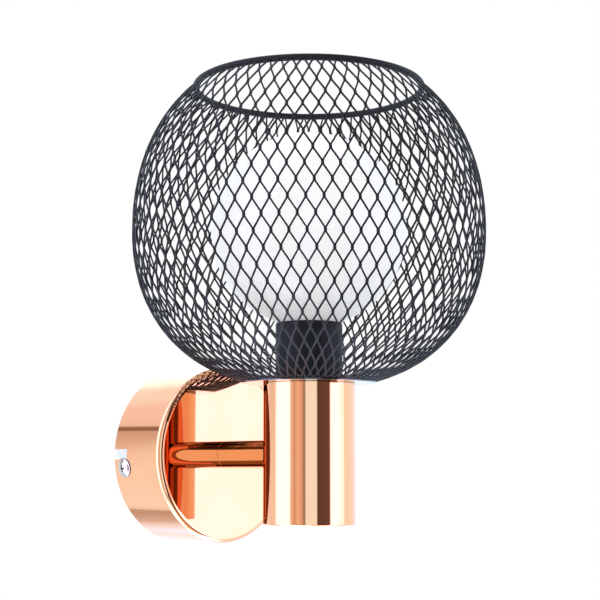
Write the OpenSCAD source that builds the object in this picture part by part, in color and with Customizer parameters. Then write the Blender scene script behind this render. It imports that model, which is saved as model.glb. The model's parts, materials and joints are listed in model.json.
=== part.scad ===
// Wall lamp: a copper wall cup, a short arm and an upright lamp cup that carries an E27 holder, an opal globe
// lamp and an open globe of expanded metal. Z is up, the wall is the plane Y = 0 and the lamp hangs toward -Y.
// The origin lies on the arm's axis, at the centre of the bracket's wall screws.

/* [Wall cup] */
// Outer diameter of the wall cup
cup_d = 110.5; // [104:0.5:124]
// How far the wall cup stands out from the wall
cup_depth = 44.5; // [38:0.5:50]
// Sheet thickness of the wall cup
cup_wall = 1; // [0.8:0.1:1.4]
// Rounding between the face and the side
cup_edge_r = 3.5; // [2:0.5:6]
// Width of each slot where it opens to the wall
entry_w = 6.4; // [6:0.1:8]
// Gap beside each cup screw in the hook of its slot
hook_gap = 0.3; // [0.2:0.05:0.5]
// Extra room round the screw at the end of each hook
seat_room = 0.15; // [0.1:0.05:0.3]
// Turn between a slot's entry and its lock, in degrees
lock_angle = 8.8; // [7:0.2:12]

/* [Wall bracket] */
// Width of the bar
bar_w = 25; // [20:1:30]
// Thickness of the bar and its ears
bar_t = 1.5; // [1.2:0.1:2]
// Width of each ear
ear_w = 25; // [18:0.5:28]
// Length of each ear past the centre of its screw
ear_end = 7; // [6:0.5:9]
// Gap between an ear's corners and the wall cup
ear_gap = 0.5; // [0.3:0.1:1]
// Distance between the two wall screws
wall_pcd = 64; // [56:1:76]
// Diameter of the wall-screw holes
wall_hole_d = 4.5; // [4:0.1:5.5]
// Diameter of the hole for the house cable
cable_hole_d = 14; // [10:0.5:15]
// Diameter of the threaded bosses on the ears
boss_d = 9; // [8:0.5:11]
// Height of the threaded bosses
boss_h = 2.5; // [2:0.25:4]
// Distance of the earth screw from the centre
earth_x = 20; // [18:0.5:23]
// Thread of the earth screw
earth_d = 4; // [3:0.5:4]
// Diameter of the earth screw's head
earth_head_d = 7.5; // [6.5:0.5:8.5]
// Height of the earth screw's head
earth_head_h = 2.4; // [2:0.2:3]
// Thickness of the earth screw's clamp washer
earth_washer_t = 0.8; // [0.6:0.1:1.2]

/* [Cup screws] */
// Distance of the cup screws from the wall
lock_back = 9.5; // [8.5:0.5:12]
// Thread of the cup screws
lock_d = 5; // [4:0.5:5]
// Length of thread under the head
lock_l = 10; // [7:0.5:14]
// Diameter of the head
head_d = 11.5; // [9:0.5:12]
// Height of the head
head_h = 2.6; // [2:0.2:3.4]
// Gap between the head and the wall cup
head_gap = 0.3; // [0.2:0.05:0.6]
// Width of one arm of a cross recess
recess_w = 1.2; // [1:0.1:1.4]

/* [Arm] */
// Distance from the wall to the lamp's axis
lamp_reach = 117.5; // [108:0.5:140]
// Outer diameter of the arm tube
arm_d = 17; // [16:0.5:20]
// Wall of the arm tube
arm_wall = 1.2; // [1:0.1:1.6]
// Thread of the hollow rod and of the nipple
rod_d = 10; // [9.5:0.5:10]
// Bore of the hollow rod and of the nipple
rod_bore = 7.6; // [7:0.1:7.8]
// Length of rod past each nut
rod_end = 1.6; // [1:0.2:3]
// Gap between a thread or shaft and its hole
thread_gap = 0.05; // [0.03:0.01:0.1]
// Gap between the rod and the holes that it passes
pass_gap = 0.15; // [0.1:0.05:0.3]
// Width of the hexagon nuts across their flats
nut_af = 15; // [14:0.5:16]
// Thickness of the hexagon nuts
nut_t = 4; // [3:0.5:5]
// Diameter of the toothed washer
washer_d = 18; // [17:0.5:20]
// Thickness of the flat washers
washer_t = 1.2; // [1:0.1:1.6]
// Least thickness of the saddle washer, at its middle
saddle_t = 2.5; // [2:0.25:4]
// Width and height of the saddle washer
saddle_w = 18; // [16:1:20]

/* [Lamp cup] */
// Outer diameter of the lamp cup
body_d = 55.2; // [54:0.2:64]
// Height of the lamp cup above the arm's axis
body_up = 42; // [42:0.5:50]
// Depth of the lamp cup below the arm's axis
body_down = 42; // [30:1:60]
// Wall of the lamp cup
body_wall = 1; // [0.8:0.1:1.4]
// Rounding of the bottom edge
body_edge_r = 0.8; // [0.5:0.1:2]
// Width of the lip turned in at the top
lip_w = 1.2; // [1:0.2:3]

/* [Shade] */
// Diameter of the disc under the mesh
disc_d = 80.8; // [74:0.2:92]
// Thickness of the disc
disc_t = 1.2; // [1:0.1:2]
// Widest diameter of the mesh
belly_d = 214.5; // [190:0.5:240]
// Height of the widest place above the disc
belly_h = 91; // [80:0.5:98]
// Height of the rim ring's centre above the disc
rim_h = 180.5; // [170:0.5:195]
// Diameter of the rim ring at its centre line
rim_d = 139; // [130:1:150]
// Thickness of the rim ring's bar
rim_t = 4; // [3:0.5:5]
// Squareness of the mesh's outline up and down
square_up = 2.15; // [2:0.05:2.3]
// Squareness of the mesh's outline across
square_out = 2.45; // [2.2:0.05:2.6]
// Thickness of the mesh
mesh_t = 1; // [0.8:0.1:1.4]
// Openings round the mesh
mesh_n = 36; // [24:2:38]
// Half rows of openings up the mesh
mesh_rows = 12; // [8:1:13]
// Half the width of a knot, as a share of the opening's pitch
knot_w = 0.1; // [0.07:0.01:0.14]
// Half the height of a knot
knot_h = 2.6; // [1.8:0.1:3.2]
// How deep the mesh is welded into the rim and the disc
weld = 0.5; // [0.3:0.1:0.6]

/* [Lampholder] */
// Outer diameter of the skirt
skirt_d = 40.4; // [39:0.2:44]
// Height of the skirt above the disc
skirt_h = 35.3; // [34.8:0.1:38]
// Wall of the skirt at its mouth
skirt_wall = 2; // [1.4:0.1:2.2]
// Outer diameter of the base
base_d = 36; // [35:0.2:36.2]
// Wall of the base round the insert
base_wall = 1.6; // [1.2:0.1:1.8]
// Thickness of the base's floor
base_floor = 3; // [2:0.5:3.5]
// Length of the base inside the skirt
base_rise = 8; // [6:0.5:10]
// Height of the bush that takes the nipple
bush_h = 5.5; // [5:0.25:6]
// Gap between the plastic parts of the holder
fit_gap = 0.1; // [0.05:0.05:0.2]
// Gap between the base and the disc's hole
disc_gap = 0.3; // [0.2:0.1:0.6]
// Height of the insert's floor above its foot
insert_floor = 10; // [9:0.5:10]
// Height of the insert above its floor
insert_rise = 26; // [25.5:0.5:26]
// Width of the ledge that carries the insert
ledge_w = 1.9; // [1.2:0.1:2.4]
// Thickness of the skirt's flange over the insert
flange_t = 1.8; // [1.4:0.1:2]
// Height of the holder bracket's top face above the arm's axis
leg_z = 14.5; // [13.5:0.5:15]
// Thickness of the holder bracket
leg_t = 1.5; // [1.2:0.1:2]
// Width of the holder bracket
leg_w = 18; // [16:1:20]
// Length of the holder bracket past the lamp's axis
leg_past = 9; // [8:0.5:12]
// Thickness of the contact strips
strip_t = 0.5; // [0.4:0.1:0.6]
// Gap between the centre contact and the lamp's tip
tip_gap = 0.1; // [0.05:0.05:0.3]

/* [Screw thread E27] */
// Pitch of the thread
pitch = 3.629; // [3.6:0.001:3.65]
// Middle radius of the lamp cap's thread
cap_mid_r = 12.6; // [12.5:0.05:12.65]
// Gap between the cap's thread and the shell's
cap_gap = 0.3; // [0.25:0.01:0.35]
// Height of the thread's waves from their middle
wave_h = 0.5; // [0.4:0.05:0.5]
// Wall of the threaded shell outside its thread
shell_wall = 0.4; // [0.3:0.05:0.4]
// Height of the threaded shell
shell_h = 23.5; // [22:0.5:24]

/* [Globe lamp] */
// Diameter of the globe
globe_d = 119; // [100:1:120]
// Wall of the globe
globe_wall = 1.2; // [0.8:0.1:2]
// Height of the globe's seat above the mouth of the skirt
seat_rise = 0.1; // [0.1:0.1:2]
// Radius of the opening in the globe
neck_r = 16; // [15:0.25:16.5]
// Width of the collar's seat round the opening
seat_w = 1.1; // [0.8:0.1:1.3]
// Height of the collar between the cap and the globe
collar_h = 12.5; // [11.5:0.25:12.75]
// Height of the collar's straight part
collar_straight_h = 6; // [4:0.5:8]
// Step between the globe's opening and the LED board
board_step = 0.5; // [0.4:0.1:1]
// Length of the threaded part of the cap
cap_thread_h = 16; // [14:0.5:16.5]
// Length of the plain part of the cap
cap_plain_h = 4.5; // [4:0.25:5]
// Length of the insulator
insulator_h = 3.5; // [3:0.25:4]
// Length of the contact tip
tip_h = 1.5; // [1:0.25:2]
// Diameter of the contact tip
tip_d = 9.5; // [8:0.5:10]
// Wall of the cap behind its thread
cap_wall = 0.5; // [0.4:0.05:0.6]
// Thickness of the LED board
board_t = 1.2; // [1:0.1:1.6]
// Radius of the ring of LEDs
led_ring_r = 11.2; // [9:0.2:12]
// LEDs on the board
led_count = 12; // [6:1:16]
// Side of one LED
led_w = 3; // [2:0.25:3.5]

/* [Wiring] */
// Outer diameter of a wire
wire_d = 2; // [1.6:0.1:2.2]
// Thickness of the plate that carries the terminal block
carrier_t = 1.5; // [1.2:0.1:2]
// Width of the carrier plate
carrier_w = 18; // [17:0.5:20]
// Width of the terminal block
block_w = 27; // [25:0.5:30]
// Height of the terminal block
block_h = 16; // [14:0.5:18]
// Depth of the terminal block
block_t = 13; // [12:0.5:14]
// Distance between the poles
pole_pitch = 8.5; // [8:0.25:9]
// Drop of the terminal block's top below the arm's axis
block_drop = 17; // [16:0.5:18]
// Outer diameter of the brass tubes
brass_d = 5.4; // [5:0.1:5.8]
// Bore of the brass tubes
brass_bore = 3.2; // [2.4:0.1:3.4]
// Diameter of the clamping screws
clamp_d = 2.6; // [2.4:0.1:3]
// Thickness of the earth lug
lug_t = 0.8; // [0.6:0.1:1]

/* [Hidden] */
$fn = 96;

// A cut reaches this far past the face that it opens
over = 1;

// Wall cup and bracket
cup_r = cup_d / 2;
cup_in_r = cup_r - cup_wall;
hook_w = lock_d + 2 * hook_gap;
ear_x = sqrt(pow(cup_in_r - ear_gap, 2) - pow(ear_w / 2, 2));
head_x = cup_r + head_gap;

// Stack on the arm's rod, from the wall cup's face toward the wall
face_in_y = -(cup_depth - cup_wall);
carrier_y = face_in_y + carrier_t;
lug_y = carrier_y + lug_t;
rear_washer_y = lug_y + washer_t;
rear_nut_y = rear_washer_y + nut_t;
rod_rear_y = rear_nut_y + rod_end;

// Stack inside the lamp cup, as distances from the lamp's axis
body_r = body_d / 2;
body_in_r = body_r - body_wall;
saddle_in = body_in_r - saddle_t;
leg_in = saddle_in - leg_t;
front_nut_in = leg_in - nut_t;
rod_front_in = front_nut_in - rod_end;

// Heights in the lampholder
disc_z = body_up;
disc_top = disc_z + disc_t;
skirt_top = disc_top + skirt_h;
base_foot = leg_z + washer_t;
nipple_top = base_foot + bush_h;
nipple_foot = leg_z - leg_t - nut_t - rod_end;
skirt_in_r = skirt_d / 2 - skirt_wall;
base_r = base_d / 2;
insert_r = base_r - base_wall - fit_gap;
shell_mid_r = cap_mid_r + cap_gap;
shell_out_r = shell_mid_r + wave_h + shell_wall;
// The lamp's parts, from its globe down
seat_z = skirt_top + seat_rise;
globe_z = seat_z + sqrt(pow(globe_d / 2, 2) - pow(neck_r + seat_w, 2));
cap_top = seat_z - collar_h;
cap_foot = cap_top - cap_plain_h - cap_thread_h;
tip_z = cap_foot - insulator_h - tip_h;
// The insert stands so that its floor carries the contacts just under the lamp's tip
contact_h = 2.4;
floor_z = tip_z - tip_gap - contact_h - strip_t;
insert_foot = floor_z - insert_floor;
insert_top = floor_z + insert_rise;
shell_foot = floor_z + strip_t;
terminal_x = 8;
terminal_w = 6;
terminal_l = 7;
terminal_h = 5.5;
terminal_z = insert_foot - terminal_h / 2;
rivet_d = 2;

// Outline of the mesh, as two quarter arcs of a superellipse that meet at the widest place
belly_r = belly_d / 2;
belly_z = disc_top + belly_h;
rim_z = disc_top + rim_h;
foot_r = disc_d / 2 - mesh_t / 2;
head_r = rim_d / 2;
foot_turn = acos(pow(foot_r / belly_r, square_out / 2));
head_turn = acos(pow(head_r / belly_r, square_out / 2));
foot_reach = belly_h / pow(sin(foot_turn), 2 / square_up);
head_reach = (rim_h - belly_h) / pow(sin(head_turn), 2 / square_up);
outline_steps = 60;
outline = concat(
    [for (k = [0 : outline_steps]) mesh_point(foot_turn * (1 - k / outline_steps), -foot_reach)],
    [for (k = [1 : outline_steps]) mesh_point(head_turn * k / outline_steps, head_reach)]);
arc_length = [for (k = 0, s = 0; k < len(outline);
    s = s + (k + 1 < len(outline) ? norm(outline[k + 1] - outline[k]) : 0), k = k + 1) s];
arc_r = [for (k = [0 : len(outline) - 1]) [arc_length[k], outline[k][0]]];
arc_z = [for (k = [0 : len(outline) - 1]) [arc_length[k], outline[k][1]]];
mesh_start = -weld;
mesh_end = arc_length[len(outline) - 1] - rim_t / 2 + weld;

// Middle of each pole's tube in the terminal block, and both ends of the arm's rod
pole_y = carrier_y + block_t / 2;
pole_top = -block_drop;
rod_front_y = -lamp_reach + rod_front_in;

// Routes of the wires, chosen by hand: each ends in its terminal. The second half is the same for both poles
wire_x = 1.6;
wire_in = 0.5;
live_route = concat([[-pole_pitch, pole_y, pole_top - wire_in], [-pole_pitch, pole_y, pole_top + 3],
    [-7.5, pole_y + 3.5, -9.5], [-4.5, rod_rear_y + 6.4, -4], [-2, rod_rear_y + 6.9, -1],
    [-wire_x, rod_rear_y + 3.9, 0]], lamp_route(-1));
neutral_route = concat([[0, pole_y, pole_top - wire_in], [0, pole_y, pole_top + 3],
    [0.6, pole_y + 4, -10.5], [1.4, rod_rear_y + 7.9, -6], [wire_x, rod_rear_y + 8.9, -1.5],
    [wire_x, rod_rear_y + 4.9, 0]], lamp_route(1));
function lamp_route(side) = [[side * wire_x, rod_rear_y - 3, 0],
    [side * wire_x, (rod_rear_y + rod_front_y) / 2, 0], [side * wire_x, rod_front_y + 1.6, 0],
    [side * wire_x, rod_front_y - 4.4, -1],
    [side * wire_x, 8 - lamp_reach, -5], [side * wire_x, 3 - lamp_reach, -5], [side * wire_x, -lamp_reach, -1],
    [side * wire_x, -lamp_reach, nipple_foot - 2.4], [side * wire_x, -lamp_reach, nipple_top - 1.7],
    [side * 2.2, -lamp_reach, nipple_top + 1.3], [side * 3.4, -lamp_reach, terminal_z - 0.5],
    [side * (terminal_x - terminal_w / 2), -lamp_reach, terminal_z]];
earth_route = [[washer_d - 1, lug_y + wire_d / 2, 0], [washer_d + 1.5, lug_y + 1.7, -0.6],
    [washer_d + 3.5, lug_y + 2.7, -4], [washer_d + 1.5, lug_y + 4.2, -9.5],
    [pole_pitch + 5, pole_y - 0.2, pole_top + 4.8], [pole_pitch + 0.9, pole_y, pole_top + 3],
    [pole_pitch, pole_y, pole_top - wire_in]];
wire_sides = 8;
wire_rings = 3;

// Shared shapes

// A round bar along Y, from y0 to y1
module bar_y(d, y0, y1) {
    translate([0, y0, 0])
        rotate([-90, 0, 0])
            cylinder(d = d, h = y1 - y0);
}

// A ring along Y
module ring_y(d, bore, y0, y1) {
    difference() {
        bar_y(d, y0, y1);
        bar_y(bore, y0 - over, y1 + over);
    }
}

// A ring along Z
module ring_z(r, bore_r, z0, z1) {
    translate([0, 0, z0])
        difference() {
            cylinder(r = r, h = z1 - z0);
            translate([0, 0, -over])
                cylinder(r = bore_r, h = z1 - z0 + 2 * over);
        }
}

// A hexagon nut for the hollow rod, standing on Z = 0
module hex_nut() {
    difference() {
        cylinder(d = nut_af / cos(30), h = nut_t, $fn = 6);
        translate([0, 0, -over])
            cylinder(d = rod_d + 2 * thread_gap, h = nut_t + 2 * over);
    }
}

// A screw along Z with a domed head above Z = 0 and a cross recess in it
module domed_screw(d, l, head, height) {
    dome_r = (pow(head / 2, 2) + pow(height, 2)) / (2 * height);
    difference() {
        union() {
            intersection() {
                cylinder(d = head, h = height);
                translate([0, 0, height - dome_r])
                    sphere(r = dome_r);
            }
            translate([0, 0, -l])
                cylinder(d = d, h = l + height / 2);
        }
        for (turn = [0, 90])
            rotate([0, 0, turn])
                translate([-head / 4, -recess_w / 2, height / 2])
                    cube([head / 2, recess_w, height]);
    }
}

// Everything that stands on the lamp's axis
module at_lamp() {
    translate([0, -lamp_reach, 0])
        children();
}

// The bracket's own frame: the bar lies along X and is turned to where the cup locks
module at_bracket() {
    rotate([0, -lock_angle, 0])
        children();
}

// A quarter-rounded box profile from the axis: radius r, height h, rounding e at the far corner
module cup_profile(r, h, e) {
    square([r - e, h]);
    square([r, h - e]);
    translate([r - e, h - e])
        circle(r = e);
}

// Wall fixing

module mounting_bracket() {
    color("lightsteelblue")
        at_bracket()
            difference() {
                union() {
                    translate([-ear_x, -bar_t, -bar_w / 2])
                        cube([2 * ear_x, bar_t, bar_w]);
                    for (side = [-1, 1])
                        translate([side * (ear_x - bar_t / 2), -(lock_back + ear_end) / 2, 0])
                            cube([bar_t, lock_back + ear_end, ear_w], center = true);
                    for (side = [-1, 1])
                        translate([side * (ear_x - bar_t), -lock_back, 0])
                            rotate([0, -side * 90, 0])
                                cylinder(d = boss_d, h = boss_h);
                    translate([earth_x, 0, 0])
                        bar_y(boss_d, -bar_t - boss_h, -bar_t);
                }
                for (side = [-1, 1])
                    translate([side * (ear_x + over), -lock_back, 0])
                        rotate([0, -side * 90, 0])
                            cylinder(d = lock_d + 2 * thread_gap, h = bar_t + boss_h + 2 * over);
                for (side = [-1, 1])
                    translate([side * wall_pcd / 2, 0, 0])
                        bar_y(wall_hole_d, -bar_t - over, over);
                bar_y(cable_hole_d, -bar_t - over, over);
                translate([earth_x, 0, 0])
                    bar_y(earth_d + 2 * thread_gap, -bar_t - boss_h - over, over);
            }
}

module cup_screw(side) {
    color("silver")
        at_bracket()
            translate([side * head_x, -lock_back, 0])
                rotate([0, side * 90, 0])
                    domed_screw(lock_d, lock_l, head_d, head_h);
}

module cup_screw_left() { cup_screw(-1); }
module cup_screw_right() { cup_screw(1); }

module earth_screw() {
    color("silver")
        at_bracket()
            translate([earth_x, -bar_t - boss_h - earth_washer_t, 0])
                rotate([90, 0, 0])
                    domed_screw(earth_d, bar_t + boss_h + earth_washer_t - hook_gap, earth_head_d,
                        earth_head_h);
}

module earth_washer() {
    color("silver")
        at_bracket()
            translate([earth_x, 0, 0])
                ring_y(boss_d, earth_d + 2 * pass_gap, -bar_t - boss_h - earth_washer_t, -bar_t - boss_h);
}

// Wall cup

// One hooked slot, at the side that faces -X: an entry from the wall, a hook that runs down and its round seat
module slot_cut() {
    slot_in = cup_r / 2;
    slot_out = cup_r + over;
    entry_l = lock_back + hook_w / 2;
    translate([-slot_out, -entry_l, -entry_w / 2])
        cube([slot_out - slot_in, entry_l + over, entry_w]);
    rotate([90, 0, 0])
        rotate([0, 0, 180])
            rotate_extrude(angle = lock_angle)
                translate([slot_in, lock_back - hook_w / 2])
                    square([slot_out - slot_in, hook_w]);
    rotate([0, -lock_angle, 0])
        translate([-slot_out, -lock_back, 0])
            rotate([0, 90, 0])
                cylinder(d = hook_w + 2 * seat_room, h = slot_out - slot_in);
}

module wall_cup() {
    color("peru")
        difference() {
            rotate([90, 0, 0])
                rotate_extrude()
                    difference() {
                        cup_profile(cup_r, cup_depth, cup_edge_r);
                        translate([0, -over])
                            cup_profile(cup_in_r, cup_depth - cup_wall + over, cup_edge_r - cup_wall);
                    }
            bar_y(rod_d + 2 * pass_gap, -cup_depth - over, face_in_y + over);
            slot_cut();
            rotate([0, 180, 0])
                slot_cut();
        }
}

// Wiring in the wall cup

module carrier_plate() {
    foot_end = 1;
    color("gainsboro")
        difference() {
            translate([-carrier_w / 2, face_in_y, -block_drop - block_h - foot_end])
                cube([carrier_w, carrier_t, block_drop + block_h + foot_end + carrier_w / 2]);
            bar_y(rod_d + 2 * pass_gap, face_in_y - over, carrier_y + over);
            translate([pole_pitch / 2, 0, -block_drop - block_h / 2])
                bar_y(clamp_d, face_in_y - over, carrier_y + over);
        }
}

module terminal_block() {
    color("ivory")
        difference() {
            translate([-block_w / 2, carrier_y, -block_drop - block_h])
                cube([block_w, block_t, block_h]);
            for (pole = [-1 : 1])
                translate([pole * pole_pitch, pole_y, -block_drop - block_h - over])
                    cylinder(d = brass_d, h = block_h + 2 * over);
            for (pole = [-1 : 1], end = [-1, 1])
                translate([pole * pole_pitch, 0, -block_drop - block_h / 2 + end * block_h / 4])
                    bar_y(clamp_d + 2 * pass_gap, pole_y, carrier_y + block_t + over);
            translate([pole_pitch / 2, 0, -block_drop - block_h / 2])
                bar_y(clamp_d, carrier_y - over, carrier_y + block_t + over);
        }
}

// How far the brass tubes and their screws lie inside the block
brass_inset = 1;
// Width and depth of a screw's slot
slot_w = 0.6;
slot_deep = 0.6;

module terminal_tubes() {
    color("gold")
        for (pole = [-1 : 1])
            difference() {
                translate([pole * pole_pitch, pole_y, -block_drop - block_h + brass_inset])
                    cylinder(d = brass_d - 2 * thread_gap, h = block_h - 2 * brass_inset);
                translate([pole * pole_pitch, pole_y, -block_drop - block_h])
                    cylinder(d = brass_bore, h = block_h);
                for (end = [-1, 1])
                    translate([pole * pole_pitch, 0, -block_drop - block_h / 2 + end * block_h / 4])
                        bar_y(clamp_d + 2 * thread_gap, pole_y, carrier_y + block_t);
            }
}

module terminal_screws() {
    color("silver")
        for (pole = [-1 : 1], end = [-1, 1])
            translate([pole * pole_pitch, 0, -block_drop - block_h / 2 + end * block_h / 4])
                difference() {
                    bar_y(clamp_d, pole_y + brass_bore / 2, carrier_y + block_t - brass_inset);
                    translate([-clamp_d, carrier_y + block_t - brass_inset - slot_deep, -slot_w / 2])
                        cube([2 * clamp_d, slot_deep + over, slot_w]);
                }
}

module block_screw() {
    color("silver")
        translate([pole_pitch / 2, 0, -block_drop - block_h / 2])
            difference() {
                union() {
                    bar_y(clamp_d - 2 * thread_gap, face_in_y + thread_gap, carrier_y + block_t);
                    bar_y(2 * clamp_d, carrier_y + block_t, carrier_y + block_t + clamp_d / 2);
                }
                translate([-clamp_d, carrier_y + block_t + clamp_d / 2 - slot_deep, -slot_w / 2])
                    cube([2 * clamp_d, slot_deep + over, slot_w]);
            }
}

module earth_lug() {
    tail_end = washer_d;
    color("silver")
        difference() {
            union() {
                bar_y(washer_d, carrier_y, lug_y);
                translate([0, carrier_y, -wire_d])
                    cube([tail_end, lug_t, 2 * wire_d]);
            }
            bar_y(rod_d + 2 * pass_gap, carrier_y - over, lug_y + over);
        }
}

// Arm

module arm_rod() {
    color("goldenrod")
        ring_y(rod_d, rod_bore, -lamp_reach + rod_front_in, rod_rear_y);
}

module toothed_washer() {
    teeth = 12;
    tooth_w = 1.4;
    color("silver")
        difference() {
            bar_y(washer_d, lug_y, rear_washer_y);
            bar_y(rod_d + 2 * pass_gap, lug_y - over, rear_washer_y + over);
            for (tooth = [0 : teeth - 1])
                rotate([0, tooth * 360 / teeth, 0])
                    translate([washer_d / 2 - tooth_w, lug_y - over, -tooth_w / 2])
                        cube([2 * tooth_w, washer_t + 2 * over, tooth_w]);
        }
}

module rear_nut() {
    color("goldenrod")
        translate([0, rear_washer_y, 0])
            rotate([-90, 0, 0])
                hex_nut();
}

module arm_tube() {
    color("peru")
        difference() {
            ring_y(arm_d, arm_d - 2 * arm_wall, -lamp_reach, -cup_depth);
            at_lamp()
                translate([0, 0, -arm_d])
                    cylinder(r = body_r, h = 2 * arm_d);
        }
}

module saddle_washer() {
    color("silver")
        at_lamp()
            difference() {
                intersection() {
                    translate([0, 0, -saddle_w / 2])
                        cylinder(r = body_in_r, h = saddle_w);
                    translate([-saddle_w / 2, saddle_in, -saddle_w / 2])
                        cube([saddle_w, body_in_r, saddle_w]);
                }
                bar_y(rod_d + 2 * pass_gap, 0, body_r);
            }
}

module front_nut() {
    color("goldenrod")
        translate([0, -lamp_reach + front_nut_in, 0])
            rotate([-90, 0, 0])
                hex_nut();
}

// Lamp cup and what it holds

module lamp_cup() {
    color("peru")
        at_lamp()
            difference() {
                translate([0, 0, body_up])
                    rotate([180, 0, 0])
                        rotate_extrude()
                            difference() {
                                cup_profile(body_r, body_up + body_down, body_edge_r);
                                translate([0, -over])
                                    square([body_in_r - lip_w, body_wall + 2 * over]);
                                translate([0, body_wall])
                                    square([body_in_r, body_up + body_down - 2 * body_wall]);
                            }
                bar_y(rod_d + 2 * pass_gap, 0, body_d);
            }
}

module holder_bracket() {
    color("gainsboro")
        at_lamp()
            difference() {
                union() {
                    translate([-leg_w / 2, leg_in, -leg_w / 2])
                        cube([leg_w, leg_t, leg_w / 2 + leg_z]);
                    translate([-leg_w / 2, -leg_past, leg_z - leg_t])
                        cube([leg_w, leg_past + leg_in + leg_t, leg_t]);
                }
                bar_y(rod_d + 2 * pass_gap, leg_in - over, leg_in + leg_t + over);
                translate([0, 0, leg_z - leg_t - over])
                    cylinder(d = rod_d + 2 * pass_gap, h = leg_t + 2 * over);
            }
}

module nipple() {
    color("goldenrod")
        at_lamp()
            ring_z(rod_d / 2, rod_bore / 2, nipple_foot, nipple_top);
}

module nipple_nut() {
    color("goldenrod")
        at_lamp()
            translate([0, 0, leg_z - leg_t - nut_t])
                hex_nut();
}

module nipple_washer() {
    color("silver")
        at_lamp()
            ring_z(washer_d / 2, rod_d / 2 + pass_gap, leg_z, base_foot);
}

module holder_base() {
    color("dimgray")
        at_lamp()
            difference() {
                translate([0, 0, base_foot])
                    cylinder(r = base_r, h = disc_top + base_rise - base_foot);
                translate([0, 0, insert_foot])
                    cylinder(r = base_r - base_wall, h = skirt_h + insert_floor);
                ring_z(base_r - base_wall - ledge_w, rod_d / 2 + base_floor, base_foot + base_floor,
                    insert_foot + over);
                translate([0, 0, nipple_top])
                    cylinder(r = rod_d / 2 + base_floor + over, h = insert_foot);
                translate([0, 0, base_foot - over])
                    cylinder(d = rod_d + 2 * thread_gap, h = bush_h + 2 * over);
            }
}

module holder_insert() {
    color("whitesmoke")
        at_lamp()
            difference() {
                translate([0, 0, insert_foot])
                    cylinder(r = insert_r, h = insert_top - insert_foot);
                translate([0, 0, floor_z])
                    cylinder(r = shell_out_r + fit_gap, h = insert_rise + over);
                for (side = [-1, 1])
                    translate([side * terminal_x, 0, insert_foot - over])
                        cylinder(d = rivet_d + 2 * fit_gap, h = insert_floor + 2 * over);
            }
}

module holder_terminals() {
    color("gold")
        at_lamp()
            for (side = [-1, 1])
                difference() {
                    translate([side * terminal_x, 0, terminal_z])
                        cube([terminal_w, terminal_l, terminal_h], center = true);
                    translate([side * terminal_x, -terminal_l, terminal_z])
                        bar_y(clamp_d + 2 * thread_gap, 0, terminal_l);
                }
}

module holder_screws() {
    head_w = 4.6;
    head_t = 2;
    color("silver")
        at_lamp()
            for (side = [-1, 1])
                translate([side * terminal_x, 0, terminal_z]) {
                    bar_y(clamp_d, -terminal_l / 2 - head_t / 2, 0);
                    bar_y(head_w, -terminal_l / 2 - head_t, -terminal_l / 2);
                }
}

// A contact strip's rivet, through the insert's floor
module rivet(side) {
    translate([side * terminal_x, 0, insert_foot])
        cylinder(d = rivet_d, h = insert_floor + strip_t);
}

module centre_contact() {
    strip_w = 6;
    bump_d = 5;
    color("gold")
        at_lamp() {
            translate([-terminal_x - rivet_d, -strip_w / 2, floor_z])
                cube([terminal_x + rivet_d + bump_d / 2, strip_w, strip_t]);
            translate([0, 0, floor_z])
                cylinder(d = bump_d, h = strip_t + contact_h);
            rivet(-1);
        }
}

module side_contact() {
    color("gold")
        at_lamp() {
            intersection() {
                ring_z(shell_out_r, terminal_x - rivet_d, floor_z, floor_z + strip_t);
                translate([terminal_x / 2, -cap_mid_r * 2, floor_z])
                    cube([cap_mid_r * 2, cap_mid_r * 4, strip_t]);
            }
            rivet(1);
        }
}

module holder_skirt() {
    sleeve_room = 1;
    sleeve_top = disc_top + base_rise + sleeve_room;
    color("dimgray")
        at_lamp()
            difference() {
                translate([0, 0, disc_top])
                    cylinder(d = skirt_d, h = skirt_h);
                translate([0, 0, disc_top - over])
                    cylinder(r = base_r + fit_gap, h = sleeve_top - disc_top + over);
                translate([0, 0, disc_top])
                    cylinder(r = insert_r + fit_gap, h = insert_top - disc_top);
                translate([0, 0, insert_top - over])
                    cylinder(r = shell_out_r + fit_gap, h = flange_t + 2 * over);
                translate([0, 0, insert_top + flange_t])
                    cylinder(r = skirt_in_r, h = skirt_h);
            }
}

// Screw threads: the waves of the cap and of the shell run side by side, cap_gap apart
thread_sides = 28;
rings_per_pitch = 6;

// Radius of a thread at height z and angle turn, for a right-hand thread
function wave(mid, z, turn) = mid + wave_h * cos(360 * z / pitch - turn);

// Rings of points round Z, one ring for each [z, radius function] pair already worked out
function ring_points(rings) = [for (ring = rings, k = [0 : thread_sides - 1])
    let (turn = k * 360 / thread_sides) [ring[k + 1] * cos(turn), ring[k + 1] * sin(turn), ring[0]]];

// A ring of the wave at height z, as [z, radius, radius, ...]
function wave_ring(mid, z) = concat([z],
    [for (k = [0 : thread_sides - 1]) wave(mid, z, k * 360 / thread_sides)]);

// A plain ring
function plain_ring(r, z) = concat([z], [for (k = [0 : thread_sides - 1]) r]);

// Faces of a closed skin through count rings, the last joined to the first
function skin_faces(count) = [for (i = [0 : count - 1], k = [0 : thread_sides - 1], half = [0, 1])
    let (i2 = (i + 1) % count, k2 = (k + 1) % thread_sides,
        a = i * thread_sides + k, b = i * thread_sides + k2,
        c = i2 * thread_sides + k2, d = i2 * thread_sides + k)
        half == 0 ? [a, d, c] : [a, c, b]];

// A body of rings, listed up the outside and then down the inside
module ring_skin(rings) {
    polyhedron(points = ring_points(rings), faces = skin_faces(len(rings)));
}

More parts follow.
